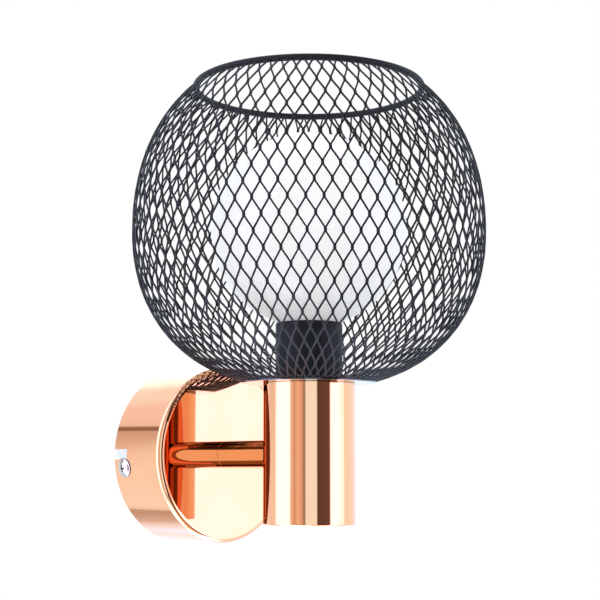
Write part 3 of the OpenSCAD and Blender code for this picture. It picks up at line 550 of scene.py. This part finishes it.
print("finishes are ready")

# %% [markdown]
# Copper
#
# The cups are brass or steel, plated with copper, polished to a mirror and lacquered. The reflections in
# the photograph are clean-edged, so the roughness stays very low. What shows that it is a real plated
# surface are faint cloudy changes of tone, where the plating is thinner, and very fine polishing marks that
# only soften the reflection a little here and there.

# %% Copper
copper, shader, at = finish("copper_mirror", {"Metallic": 1.0})
cloud = noise(at, 0.03, 3.0)
feed(shader, "Base Color", cloud.step(0.3, 0.7).mix((0.925, 0.442, 0.228), (0.935, 0.458, 0.242)))
marks = noise(at, 2.5, 4.0, 0.7)
feed(shader, "Roughness", 0.022 + marks.step(0.55, 0.85) * 0.05)
print(copper.name)

# %% [markdown]
# Black paints
#
# The mesh and its rim are powder-coated: a satin, nearly neutral black with a very fine orange peel that
# breaks up each glint. A weak, rough sheen is enough for it. The disc has a smooth gloss lacquer, so it
# mirrors the copper below it, and a clear coat over the same black gives that.

# %% Black paints
satin_black, shader, at = finish("satin_black_powder_coat", {
    "Specular Tint": (1.0, 0.92, 0.84, 1), "Specular IOR Level": 0.22})
tone = noise(at, 0.4, 2.0)
feed(shader, "Base Color", tone.mix((0.008, 0.0085, 0.010), (0.014, 0.015, 0.018)))
feed(shader, "Roughness", 0.46 + noise(at, 1.2, 3.0) * 0.16)
bump(shader, noise(at, 3.0, 1.0), 0.02, 0.4)

gloss_black, shader, at = finish("gloss_black_lacquer", {"Coat Roughness": 0.03, "Coat IOR": 1.6})
feed(shader, "Base Color", noise(at, 0.2).mix((0.006, 0.006, 0.008), (0.012, 0.012, 0.015)))
feed(shader, "Roughness", 0.10 + noise(at, 0.8, 3.0) * 0.06)
feed(shader, "Coat Weight", 0.9 - noise(at, 0.5).step(0.6, 0.9) * 0.2)
bump(shader, noise(at, 0.7, 1.0), 0.004, 0.3)
print(satin_black.name, gloss_black.name)

# %% [markdown]
# Plastics
#
# The lampholder is a black thermoplastic moulding with a fine satin skin. White and ivory plastics are used
# inside. One helper makes them all: two close tones in slow clouds, a roughness that drifts, and a very
# fine grain that a spark-eroded mould leaves.

# %% Plastics
def plastic(name, dark, light, rough, grain=0.012, gloss=0.5):
    """A moulded plastic between two tones, with the strength of its gloss on the shader's own scale."""
    material, shader, at = finish(name, {"Specular IOR Level": gloss})
    feed(shader, "Base Color", noise(at, 0.15, 2.0).mix(dark, light))
    feed(shader, "Roughness", rough + noise(at, 0.9, 3.0) * 0.10)
    bump(shader, noise(at, 6.0, 1.0), grain, 0.5)
    return material


black_plastic = plastic("black_thermoplastic", (0.007, 0.008, 0.010), (0.011, 0.012, 0.015), 0.46,
                        gloss=0.2)
ivory_plastic = plastic("ivory_terminal_plastic", (0.66, 0.63, 0.53), (0.74, 0.71, 0.62), 0.42)
white_plastic = plastic("white_collar_plastic", (0.80, 0.80, 0.79), (0.86, 0.86, 0.85), 0.30)
insulator_glass = plastic("black_insulator_glass", (0.006, 0.006, 0.009), (0.014, 0.013, 0.018), 0.08, 0.004)
white_mask = plastic("white_solder_mask", (0.78, 0.78, 0.75), (0.84, 0.84, 0.82), 0.35)
green_mask = plastic("green_solder_mask", (0.010, 0.085, 0.035), (0.018, 0.13, 0.055), 0.30)
driver_grey = plastic("driver_part_grey", (0.045, 0.048, 0.060), (0.075, 0.080, 0.095), 0.42)
led_yellow = plastic("led_phosphor", (0.72, 0.52, 0.09), (0.82, 0.64, 0.16), 0.5)
brown_wire = plastic("brown_insulation", (0.070, 0.028, 0.012), (0.10, 0.042, 0.018), 0.38)
blue_wire = plastic("blue_insulation", (0.012, 0.050, 0.26), (0.022, 0.075, 0.36), 0.38)
print("ten plastics")

# %% [markdown]
# Opal globe
#
# The globe is opal: light goes in, is scattered, and leaves evenly everywhere, so it looks nearly flat
# white with hardly any shading. Real scattering through a thick shell is slow and noisy to render. A white
# body with some subsurface scattering gives part of that even look. The rest is painted light: a faint glow,
# although the lamp is not lit, that brightens it evenly from every side.

# %% Opal
# Painted light: the emission gives the unlit globe a faint, even glow.
opal, shader, at = finish("opal_globe", {
    "Subsurface Weight": 0.25, "Subsurface Radius": (1.0, 1.0, 1.0), "Subsurface Scale": 0.004,
    "Emission Strength": 0.28})
feed(shader, "Base Color", noise(at, 0.05, 2.0).mix((0.86, 0.865, 0.875), (0.88, 0.883, 0.89)))
feed(shader, "Emission Color", noise(at, 0.04, 2.0).mix((0.96, 0.97, 0.985), (0.975, 0.98, 0.99)))
feed(shader, "Roughness", 0.34 + noise(at, 0.5, 2.0) * 0.08)
print(opal.name)

# %% [markdown]
# Bare metals
#
# The bracket is zinc-plated, which gives a pale grey metal with faint spangles. The screws are
# nickel-plated and bright, the rod, nuts and contacts brass, and the lamp's cap a softer nickel. They
# differ in colour, in roughness and in the size of their grain, so one helper makes them.

# %% Bare metals
def metal(name, dark, light, rough, grain, lines=False):
    """A bare or plated metal. With lines, a fine brushing runs along one way."""
    material, shader, at = finish(name, {"Metallic": 1.0})
    if lines:
        stretch = {"Vector": at, "Scale": (0.15, 2.0, 2.0)}
        at = at.node("Mapping", {"vector_type": "POINT"}, stretch)
    spangle = at.node("TexVoronoi", {"feature": "F1"}, {"Vector": at, "Scale": grain}, out="Color")
    fleck = spangle.along((0.4, 0.3, 0.3))
    feed(shader, "Base Color", fleck.mix(dark, light))
    feed(shader, "Roughness", rough + noise(at, grain * 3, 3.0) * rough * 0.5)
    bump(shader, noise(at, grain * 4, 3.0), 0.01, 0.25)
    return material


zinc = metal("zinc_plate", (0.56, 0.55, 0.54), (0.68, 0.66, 0.64), 0.26, 0.5)
bright_steel = metal("bright_nickel_screw", (0.72, 0.73, 0.76), (0.80, 0.81, 0.83), 0.10, 1.5)
brass = metal("bright_brass", (0.72, 0.50, 0.20), (0.82, 0.62, 0.30), 0.20, 0.8)
cap_metal = metal("soft_nickel_cap", (0.68, 0.68, 0.67), (0.76, 0.76, 0.76), 0.18, 1.0, lines=True)
print("four metals")

# %% [markdown]
# Earth wire
#
# An earth wire is green with yellow stripes along it, so that nobody mistakes it. The stripes are cut from
# one wave: where the wave is high the insulation is yellow.

# %% Earth wire
earth_stripe, shader, at = finish("earth_wire_insulation", {"Roughness": 0.4})
wave = at.node("TexWave", {"wave_type": "BANDS", "bands_direction": "DIAGONAL"},
               {"Vector": at, "Scale": 0.16, "Distortion": 0.4, "Detail": 1.0}, out="Fac")
feed(shader, "Base Color", wave.step(0.42, 0.58).mix((0.035, 0.22, 0.03), (0.62, 0.56, 0.03)))
print(earth_stripe.name)

# %% [markdown]
# The wall cup
#
# The wall cup is spun from sheet: a flat round face, a tight rounding, a straight side, and a hole in the
# middle for the arm's rod. Its profile is drawn as a closed outline with both sides of the sheet, so that
# the wall has its real thickness all over. It is turned upright first, and then laid over so that its open
# side is at the wall.

# %% Turn the wall cup
SHEET = 1.0
EDGE_ROUND = 3.5
HOLE_R = 5.15
wall_cup = turned("wall_cup_copper", rounded([
    (WALL_R, 0, 0.25), (WALL_R, WALL_DEPTH, EDGE_ROUND), (HOLE_R, WALL_DEPTH, 0.1),
    (HOLE_R, WALL_DEPTH - SHEET, 0.1), (WALL_R - SHEET, WALL_DEPTH - SHEET, EDGE_ROUND - SHEET),
    (WALL_R - SHEET, 0, 0.25)], steps=8))
settle(wall_cup, turn=FORWARD)
print("wall cup faces:", len(wall_cup.data.polygons))

# %% [markdown]
# The cup hangs on two screws through hooked slots. A slot opens at the wall, runs in as far as the screw,
# and then turns along the side to a round seat. Its cutter is three shapes: a block for the entry, a small
# plane spun round the cup's axis for the hook, and a cylinder for the seat. A slot could be drawn as one
# outline and bent round the cup, but cutting is how the real one is made, and it keeps the polished side
# untouched.

# %% The shape of a slot
SCREW_BACK = -sum(corner.y for corner in box_mm("cup_screw_left")) / 2
ENTRY_W, HOOK_W, SEAT_D = 6.4, 5.6, 5.9
CUT_IN, CUT_OUT = WALL_R - 8, WALL_R + 3


def slot_cutter(side):
    """The shape of one slot, at the side -1 or 1 of the cup."""
    reach = SCREW_BACK + HOOK_W / 2
    middle = (CUT_IN + CUT_OUT) / 2
    entry = block((-middle, (1 - reach) / 2, 0), (CUT_OUT - CUT_IN, reach + 1, ENTRY_W))
    fresh()
    bpy.ops.mesh.primitive_plane_add(size=1, location=(-middle * MM, -SCREW_BACK * MM, 0))
    hook = bpy.context.object
    hook.scale = ((CUT_OUT - CUT_IN) * MM, HOOK_W * MM, 1)
    settle(hook)
    edit(hook)
    bpy.ops.mesh.spin(steps=10, angle=-LOCK_TURN, center=(0, 0, 0), axis=(0, -1, 0))
    polish(hook)
    seat_at = (-math.cos(LOCK_TURN) * middle, -SCREW_BACK, -math.sin(LOCK_TURN) * middle)
    seat = rod(seat_at, SEAT_D / 2, CUT_OUT - CUT_IN, (0, math.pi / 2 - LOCK_TURN, 0), 64)
    lowest = min(corner.co.z for corner in hook.data.vertices) / MM
    for part in (entry, hook, seat):
        part.select_set(True)
    bpy.ops.object.join()
    if side > 0:
        settle(bpy.context.object, turn=(0, math.pi, 0))
    return bpy.context.object, lowest


print(f"a slot is {ENTRY_W} mm wide where it opens and {HOOK_W} mm along its hook")

# %% [markdown]
# The right slot is the left one turned half a turn about the cup's axis, so that both hooks let the lamp
# twist the same way.

# %% Cut the hooked slots
for side in (-1, 1):
    cutter, lowest = slot_cutter(side)
    cut(wall_cup, cutter)
    print(f"slot at side {side}: its hook reaches {abs(lowest):.1f} mm from the middle")
polish(wall_cup)
print("wall cup faces after cutting:", len(wall_cup.data.polygons))

# %% [markdown]
# Finished pieces are put on the lamp the same way each time: they get their finish, they ride on the CAD
# body that they belong to, and they stand for the CAD nodes that they replace.

# %% Put a piece on the lamp
def put_on(piece, body, slot, material, *nodes):
    """Gives a piece its finish and its body, and lets it stand for CAD nodes."""
    piece.data.materials.clear()
    piece.data.materials.append(material)
    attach(piece, body)
    if nodes:
        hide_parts(*nodes)


put_on(wall_cup, "lamp", "copper", copper, "wall_cup")
print("wall cup is on")

# %% [markdown]
# The arm and the lamp cup
#
# The lamp cup is a closed cylinder with a lip turned in at its top, on which the shade's disc lies. Its
# bottom edge is nearly sharp. It is drawn as one open profile from the middle of the bottom, up the
# outside, over the lip and down the inside, and the two ends are filled.

# %% Lamp cup
LIP = 1.2
LIP_R = LAMP_R - SHEET - LIP
lamp_cup = turned("lamp_cup_copper", rounded([
    (0.6, lamp_low.z, 0), (LAMP_R, lamp_low.z, 0.8), (LAMP_R, lamp_high.z, 0.2), (LIP_R, lamp_high.z, 0.1),
    (LIP_R, lamp_high.z - SHEET, 0.1), (LAMP_R - SHEET, lamp_high.z - SHEET, 0.2),
    (LAMP_R - SHEET, lamp_low.z + SHEET, 0.2), (0.6, lamp_low.z + SHEET, 0)], closed=False), closed=False)
settle(lamp_cup, LAMP_AXIS)
cut(lamp_cup, rod((0, LAMP_Y + LAMP_R, 0), HOLE_R, LAMP_R, FORWARD))
polish(lamp_cup)
put_on(lamp_cup, "lamp", "copper", copper, "lamp_cup")
print("lamp cup faces:", len(lamp_cup.data.polygons))

# %% [markdown]
# The arm is a plain tube, and its front end is cut to the curve of the lamp cup so that it sits on it
# without a gap. A cylinder of the cup's own radius makes that cut.

# %% Arm tube
ARM_R, ARM_WALL = radius_mm("arm_tube"), 1.2
arm_tube = turned("arm_tube_copper", rounded([
    (ARM_R, WALL_DEPTH, 0.15), (ARM_R, -LAMP_Y, 0), (ARM_R - ARM_WALL, -LAMP_Y, 0),
    (ARM_R - ARM_WALL, WALL_DEPTH, 0)], steps=2), sides=192)
settle(arm_tube, turn=FORWARD)
cut(arm_tube, rod(LAMP_AXIS, LAMP_R, 4 * ARM_R, sides=256))
polish(arm_tube)
put_on(arm_tube, "lamp", "copper", copper, "arm_tube")
print("arm tube faces:", len(arm_tube.data.polygons))

# %% [markdown]
# The lampholder's skirt
#
# The black skirt screws down over the holder's base and clamps the shade's disc. From outside it is a plain
# cylinder with a softly rounded mouth. Inside it steps in to a flange over the insert and out again over
# the base, and those sizes come from the CAD nodes that it goes round.

# %% Skirt
FIT = 0.1
skirt_low, skirt_high = box_mm("holder_skirt")
SKIRT_R, SKIRT_WALL = radius_mm("holder_skirt"), 2.0
inner = ("thread_shell", "holder_insert", "holder_base")
shell_r, insert_r, base_r = (radius_mm(node) + FIT for node in inner)
insert_top, base_top = box_mm("holder_insert")[1].z, box_mm("holder_base")[1].z + 1
shell_top = insert_top + 1.8
skirt = turned("holder_skirt_black", rounded([
    (SKIRT_R, skirt_low.z, 0.4), (SKIRT_R, skirt_high.z, 1.1), (SKIRT_R - SKIRT_WALL, skirt_high.z, 0.5),
    (SKIRT_R - SKIRT_WALL, shell_top, 0.3), (shell_r, shell_top, 0.3), (shell_r, insert_top, 0),
    (insert_r, insert_top, 0), (insert_r, base_top, 0), (base_r, base_top, 0), (base_r, skirt_low.z, 0)]),
    sides=192)
settle(skirt, LAMP_AXIS)
put_on(skirt, "lamp", "black_plastic", black_plastic, "holder_skirt")
print("skirt faces:", len(skirt.data.polygons))

# %% [markdown]
# The shade's disc and rim
#
# The disc is a flat washer of steel sheet that is clamped between the lamp cup and the skirt, and the mesh
# is welded to its edge. The rim is a round bar bent to a ring. Both are turned from short closed profiles,
# the bar from a circle of 20 points.

# %% Disc and rim
CLEAR = 0.3
hole_r = radius_mm("holder_base") + CLEAR
disc = turned("shade_disc_black", rounded([
    (DISC_R, disc_low.z, 0.35), (DISC_R, DISC_TOP, 0.35), (hole_r, DISC_TOP, 0.1),
    (hole_r, disc_low.z, 0.1)], steps=3))
settle(disc, LAMP_AXIS)
put_on(disc, "lamp", "black_gloss", gloss_black, "shade_disc")

BAR_POINTS = 20
rim = turned("shade_rim_black", [(RIM_R + RIM_BAR / 2 * math.cos(math.tau * k / BAR_POINTS),
                                  RIM_Z + RIM_BAR / 2 * math.sin(math.tau * k / BAR_POINTS))
                                 for k in range(BAR_POINTS)])
settle(rim, LAMP_AXIS)
put_on(rim, "lamp", "black_satin", satin_black, "shade_rim")
print("disc and rim faces:", len(disc.data.polygons), len(rim.data.polygons))

# %% [markdown]
# The shade of expanded metal
#
# Expanded metal is sheet that has been slit and pulled open into a lattice of diamonds. The flat sheet is
# then rolled and pressed into a globe. The rows of knots stay evenly spaced round the belly, and are pulled
# further apart where the sheet is drawn in to the disc and to the rim. They are measured along the outline,
# which is made of two quarter arcs of a superellipse, as in the CAD. Rows at even heights would be simpler,
# but then the openings would look squashed wherever the globe curves in.

# %% Rows of knots
COLUMNS = 68
DRAWN_LOW, EVEN_ROWS, DRAWN_HIGH = (7.4, 12.7, 11.3, 10.1, 9.9), 15, (10.3, 11.5, 11.7)
BELLY_R, BELLY_Z = radius_mm("shade_mesh") - 0.5, DISC_TOP + 91
SQUARE_UP, SQUARE_OUT = 2.15, 2.45
FOOT_R = DISC_R - 0.5


def quarter_arc(end_r, end_z, count=200):
    """Points from the belly to an end of the outline."""
    last = math.acos((end_r / BELLY_R) ** (SQUARE_OUT / 2))
    reach = (end_z - BELLY_Z) / math.sin(last) ** (2 / SQUARE_UP)
    return [(BELLY_R * math.cos(last * k / count) ** (2 / SQUARE_OUT),
             BELLY_Z + reach * math.sin(last * k / count) ** (2 / SQUARE_UP)) for k in range(count + 1)]


def on_outline(way):
    """The place (radius, height) that lies so far along the outline from its foot."""
    for before, after in zip(outline, outline[1:]):
        step = math.dist(before, after)
        if way <= step:
            return tuple(Vector(before).lerp(Vector(after), way / step))
        way -= step
    return outline[-1]


outline = quarter_arc(FOOT_R, DISC_TOP)[::-1] + quarter_arc(RIM_R, RIM_Z)[1:]
full_way = sum(math.dist(before, after) for before, after in zip(outline, outline[1:]))
even_step = (full_way - sum(DRAWN_LOW) - sum(DRAWN_HIGH)) / EVEN_ROWS
row_steps = (*DRAWN_LOW, *[even_step] * EVEN_ROWS, *DRAWN_HIGH)
print(f"{len(row_steps)} half rows, {even_step:.2f} mm apart at the belly, outline {full_way:.0f} mm long")

# %% [markdown]
# A knot is a short upright bar where two strands lie side by side. So each row of knots gets two rings, at
# the foot and at the head of its bars. Rings of 136 corners are pulled up through all of them, which gives
# a plain grid with a corner for every knot and one more between each pair.

# %% Pull up the grid
HALF_BAR = 0.75
row_ways = [sum(row_steps[:k]) for k in range(1, len(row_steps))]
bar_ends = [on_outline(way + end) for way in row_ways for end in (-HALF_BAR, HALF_BAR)]
rings = [outline[0], *bar_ends, outline[-1]]
lattice = first_ring("shade_mesh_black", *rings[0], 2 * COLUMNS)
pull_up(rings)
face_out()
print("grid faces:", len(lattice.data.polygons))

# %% [markdown]
# Between two rows every face of the grid is crossed by just one strand, from the knot below to the knot
# above, and the faces take turns in which way it leans, like the squares of a chessboard. Cutting the faces
# into triangles along those diagonals draws all the strands. Then every edge that is neither a strand nor a
# knot's bar is dissolved, and only the openings are left as faces.

# %% Draw the strands and dissolve the rest
ring_heights = [h * MM for _, h in rings]
ON_A_RING = 0.05


def column(place):
    """How many columns round the mesh a place lies; a corner of the grid is a whole number."""
    return (math.degrees(math.atan2(place.y, place.x)) - 90) % 360 * 2 * COLUMNS / 360


def zone(place):
    """The gap between rings of a place, from 0 at the disc. Strands run in even gaps, bars in odd ones."""
    return sum(place.z > height for height in ring_heights) - 1


def leans_right(place, face):
    return zone(place) % 2 == 0 and (int(column(place)) + zone(place) // 2) % 2 == 0


def is_strand(place):
    between = abs(column(place) % 1 - 0.5) < 0.25
    off_rings = min(abs(place.z - height) for height in ring_heights) > ON_A_RING * MM
    return between and off_rings and zone(place) % 2 == 0


def is_bar(place):
    upright = abs(column(place) % 1 - 0.5) > 0.25
    return upright and zone(place) % 2 == 1 and (round(column(place)) + (zone(place) + 1) // 2) % 2 == 0


edit(lattice)
right = pick("FACE", leans_right)
bpy.ops.mesh.quads_convert_to_tris(quad_method="FIXED")
left = pick("FACE", lambda place, face: zone(place) % 2 == 0 and len(face.vertices) == 4)
bpy.ops.mesh.quads_convert_to_tris(quad_method="FIXED_ALTERNATE")
plain_edges = pick("EDGE", lambda place, edge: not (is_strand(place) or is_bar(place)))
bpy.ops.mesh.dissolve_edges(use_verts=True)
bpy.ops.object.mode_set(mode="OBJECT")
print(right, "strands lean right,", left, "lean left,", plain_edges, "edges dissolved,",
      len(lattice.data.polygons), "openings")

# %% [markdown]
# The bars are bevelled, which splits each one into a small upright face, the knot. Every opening is then
# inset by half a strand and its inner face deleted, so strands and knots are left as one sheet. Solidify
# gives the sheet its thickness and Bevel takes the sharpness off its edges.

# %% Knots, strands and thickness
HALF_KNOT, HALF_STRAND, THICK, BLUNT = 0.35, 0.50, 0.65, 0.13
SMALLEST_OPENING = 8
edit(lattice)
bars = pick("EDGE", lambda place, edge: is_bar(place))
bpy.ops.mesh.bevel(affect="EDGES", offset=HALF_KNOT * MM, offset_type="OFFSET", segments=1)
openings = pick("FACE", lambda place, face: face.area > SMALLEST_OPENING * MM ** 2)
bpy.ops.mesh.inset(thickness=HALF_STRAND * MM, use_individual=True, use_even_offset=True)
bpy.ops.mesh.delete(type="FACE")
face_out()
modify(lattice, "SOLIDIFY", thickness=THICK * MM, offset=0.0, use_even_offset=True)
modify(lattice, "BEVEL", width=BLUNT * MM, segments=1, limit_method="ANGLE",
       angle_limit=math.radians(40))
print(bars, "knots,", openings, "openings,", len(lattice.data.polygons), "faces in the sheet")

# %% [markdown]
# The columns of the real mesh lean a little: they drift to the left going up, because the sheet was rolled
# up slightly askew. A Simple Deform twist does that, and a turn of the whole mesh brings its knots to where
# they are in the photograph.

# %% Lean the columns and set the mesh in place
LEAN, PHASE = math.radians(-3.8), math.radians(1.6)
modify(lattice, "SIMPLE_DEFORM", deform_method="TWIST", deform_axis="Z", angle=LEAN)
settle(lattice, LAMP_AXIS, (0, 0, PHASE))
bpy.ops.object.shade_smooth_by_angle(angle=math.radians(50))
put_on(lattice, "lamp", "black_satin", satin_black, "shade_mesh")
print("mesh box in mm:", [[round(x / MM, 1) for x in corner] for corner in lattice.bound_box][::6])

# %% [markdown]
# The globe lamp
#
# The globe is blown opal glass, round all over, with its neck set in a white collar that disappears into
# the lampholder. One profile of the outside is pulled up from the neck to the pole and closed there, and
# Solidify gives the glass its thickness inwards.

# %% Globe
globe_high = box_mm("bulb_globe")[1]
GLOBE_R = radius_mm("bulb_globe")
GLOBE_Z = globe_high.z - GLOBE_R
NECK_R, GLASS = 17.1, 1.2
neck_turn = math.asin(NECK_R / GLOBE_R)
GLOBE_RINGS = 48
pole_turn = math.pi - 0.02
ring_turns = [neck_turn + (pole_turn - neck_turn) * k / GLOBE_RINGS for k in range(GLOBE_RINGS + 1)]
globe_rings = [(GLOBE_R * math.sin(a), GLOBE_Z - GLOBE_R * math.cos(a)) for a in ring_turns]
globe = turned("globe_opal", globe_rings, sides=144, closed=False)
edit(globe)
pick("FACE", lambda place, face: len(face.vertices) > 4 and place.z < GLOBE_Z * MM)
bpy.ops.mesh.delete(type="FACE")
bpy.ops.object.mode_set(mode="OBJECT")
modify(globe, "SOLIDIFY", thickness=GLASS * MM, offset=-1.0)
settle(globe, LAMP_AXIS)
bpy.ops.object.shade_smooth_by_angle(angle=math.radians(40))
put_on(globe, "bulb", "opal", opal, "bulb_globe")
print("globe faces:", len(globe.data.polygons))

# %% [markdown]
# The cup screws
#
# A domed head holds the cup on each side. The head and its thread are one turned piece, pulled up from the
# thread's end to the crown of the dome. A sphere cut in half would give a dome too, but with its rings in
# the wrong places for the edge under the head.

# %% Turn a cup screw
screw_low, screw_high = box_mm("cup_screw_right")
HEAD_R = (screw_high.y - screw_low.y) / 2
HEAD_H, THREAD_R, THREAD_L = 1.9, 2.5, 10
DOME_R = (HEAD_R ** 2 + HEAD_H ** 2) / (2 * HEAD_H)
DOME_RINGS, CROWN = 12, 0.03
dome_turn = math.asin(HEAD_R / DOME_R)
dome_turns = [dome_turn * (1 - k / DOME_RINGS) + CROWN * k / DOME_RINGS for k in range(1, DOME_RINGS + 1)]
dome = [(DOME_R * math.sin(a), HEAD_H - DOME_R + DOME_R * math.cos(a)) for a in dome_turns]
shank = rounded([(0.4, -THREAD_L, 0), (THREAD_R, -THREAD_L, 0.5), (THREAD_R, 0, 0), (HEAD_R - 0.1, 0, 0.08)],
                steps=2, closed=False)
screw = turned("cup_screw_bright", shank + [(HEAD_R, 0.15)] + dome, sides=96, closed=False)
print("screw head", round(2 * HEAD_R, 1), "mm wide")

# %% [markdown]
# The cross recess is cut by two wedges that narrow towards their tips, as a cross-head bit does. Each is a
# block whose lower face is selected by its normal and scaled in.

# %% Cut the cross recess
RECESS_W, RECESS_R, RECESS_DEEP = 1.4, 3.0, 1.5
for quarter in (0, math.pi / 2):
    size = (2 * RECESS_R, RECESS_W, RECESS_DEEP + 1)
    wedge = block((0, 0, HEAD_H + 0.5 - RECESS_DEEP / 2), size, quarter)
    edit(wedge)
    pick("FACE", lambda place, face: face.normal.z < -0.9)
    bpy.ops.transform.resize(value=(0.4, 0.4, 1), center_override=(0, 0, 0))
    bpy.ops.object.mode_set(mode="OBJECT")
    cut(screw, wedge)
polish(screw, 35)
print("screw faces:", len(screw.data.polygons))

# %% [markdown]
# The recess gets painted shade: below the dome its colour is darkened for the shadow in it, and the metal
# there is rougher, as plating hardly reaches in. How deep a place lies is read from its distance to the
# middle of the dome's sphere. Taking coordinates without their sign lets one material serve both screws.

# %% Screw finish, with painted shade in the recess
out_x = WALL_R + 0.3
screw_steel_with_painted_shade, shader, at = finish("bright_screw_painted_recess_shade", {"Metallic": 1.0})
dome_middle = out_x + HEAD_H - DOME_R
middle = (math.cos(LOCK_TURN) * dome_middle, SCREW_BACK, math.sin(LOCK_TURN) * dome_middle)
both_sides = at.node("VectorMath", {"operation": "ABSOLUTE"}, {0: at})
from_middle = at.node("VectorMath", {"operation": "DISTANCE"}, {0: both_sides, 1: middle}, out="Value")
recess = 1 - from_middle.step(DOME_R - 0.8, DOME_R - 0.1)
# Painted shade: the colour darkens in the recess, where shadow falls.
feed(shader, "Base Color", recess.mix((0.52, 0.45, 0.39), (0.06, 0.052, 0.045)))
feed(shader, "Roughness", 0.09 + recess * 0.30 + noise(at, 2.0, 3.0) * 0.06)
bump(shader, noise(at, 6.0, 2.0), 0.006, 0.25)
print(screw_steel_with_painted_shade.name)

# %% [markdown]
# The screw was modelled upright. It is copied with its own mesh, and each copy is laid where its thread
# goes through the slot. The screws stay with the bracket when the lamp is twisted.

# %% Lay the screws in their slots
only(screw)
bpy.ops.object.duplicate(linked=False)
other_screw = bpy.context.object
for piece, side, node in ((screw, -1, "cup_screw_left"), (other_screw, 1, "cup_screw_right")):
    piece.name = piece.data.name = f"{node}_bright"
    outward = Vector((side * math.cos(LOCK_TURN), 0, side * math.sin(LOCK_TURN)))
    place = (outward.x * out_x, -SCREW_BACK, outward.z * out_x)
    settle(piece, place, outward.to_track_quat("Z", "Y").to_euler())
    put_on(piece, "bracket", "bright_screw", screw_steel_with_painted_shade, node)
    print(node, "from", [round(x / MM, 1) for x in piece.bound_box[0]])

# %% [markdown]
# What stays from the CAD
#
# The parts inside are flat plates, nuts, tubes and blocks whose CAD shapes are already right. They keep
# them and get a finish. Their meshes are loose triangles with knife-sharp edges, so the larger ones get two
# live modifiers: a Weld that joins the triangles, and a small Bevel that lets their edges catch the light
# as real ones do.

# %% Finishes for the CAD nodes
KEPT = {
    zinc: ["mounting_bracket", "earth_washer", "carrier_plate", "toothed_washer", "saddle_washer",
           "holder_bracket", "nipple_washer", "earth_lug"],
    bright_steel: ["earth_screw", "terminal_screws", "block_screw", "holder_screws"],
    brass: ["terminal_tubes", "arm_rod", "rear_nut", "front_nut", "nipple", "nipple_nut", "thread_shell",
            "centre_contact", "side_contact", "holder_terminals"],
    black_plastic: ["holder_base"], ivory_plastic: ["terminal_block", "holder_insert"],
    white_plastic: ["bulb_collar"], cap_metal: ["bulb_cap", "bulb_tip"], insulator_glass: ["bulb_insulator"],
    white_mask: ["led_board"], led_yellow: ["led_chips"], green_mask: ["driver_board"],
    driver_grey: ["driver_parts"], brown_wire: ["live_wire"], blue_wire: ["neutral_wire"],
    earth_stripe: ["earth_wire"],
}
ROUND_OVER = {"mounting_bracket": 0.3, "carrier_plate": 0.2, "terminal_block": 0.4, "rear_nut": 0.3,
              "front_nut": 0.3, "nipple_nut": 0.3, "holder_bracket": 0.2, "earth_screw": 0.2,
              "holder_base": 0.3, "holder_insert": 0.2, "bulb_collar": 0.3, "earth_lug": 0.15}
for material, nodes in KEPT.items():
    for name in nodes:
        node = frame["nodes"][name]
        if not node.material_slots:
            node.data.materials.append(material)
        for slot in node.material_slots:
            slot.material = material
        if name in ROUND_OVER:
            weld = node.modifiers.new("weld", "WELD")
            weld.merge_threshold = 1e-6
            edges = node.modifiers.new("edges", "BEVEL")
            edges.width, edges.segments = ROUND_OVER[name] * MM, 2
            edges.limit_method, edges.angle_limit = "ANGLE", math.radians(50)
bare = [name for name, node in frame["nodes"].items()
        if not node.hide_render and name not in sum(KEPT.values(), [])]
print("CAD nodes without a finish:", bare)

# %% [markdown]
# The floor
#
# A plain pale floor lies below the lamp and keeps its shadow. It fades out to all sides, so that it has no
# edge, and mirrors look through it at the room, which carries on below.

# %% Floor
FLOOR_Z, FLOOR_R = -0.42, 1.4
fresh()
bpy.ops.mesh.primitive_circle_add(vertices=96, radius=FLOOR_R, fill_type="NGON",
                                  location=(0, -0.12, FLOOR_Z))
floor = bpy.context.object
floor.name = "floor"
settle(floor)
pale = bpy.data.materials.new("pale_floor")
ground = blank(pale)
spot = ground.node("TexCoord", out="Object")
far = ground.node("VectorMath", {"operation": "LENGTH"}, {0: spot}, out="Value")
hold = (1 - far.step(0.45, 1.15)) * (1 - ground.node("LightPath", out="Is Glossy Ray"))
pale_tone = noise(spot, 3.0).mix((0.90, 0.90, 0.90), (0.92, 0.92, 0.92))
matt = ground.node("BsdfDiffuse", sockets={"Color": pale_tone})
clear = ground.node("BsdfTransparent")
fading = ground.node("MixShader", sockets={0: hold, 1: clear, 2: matt})
ground.node("OutputMaterial", sockets={"Surface": fading})
floor.data.materials.append(pale)
print("floor at", FLOOR_Z, "m")
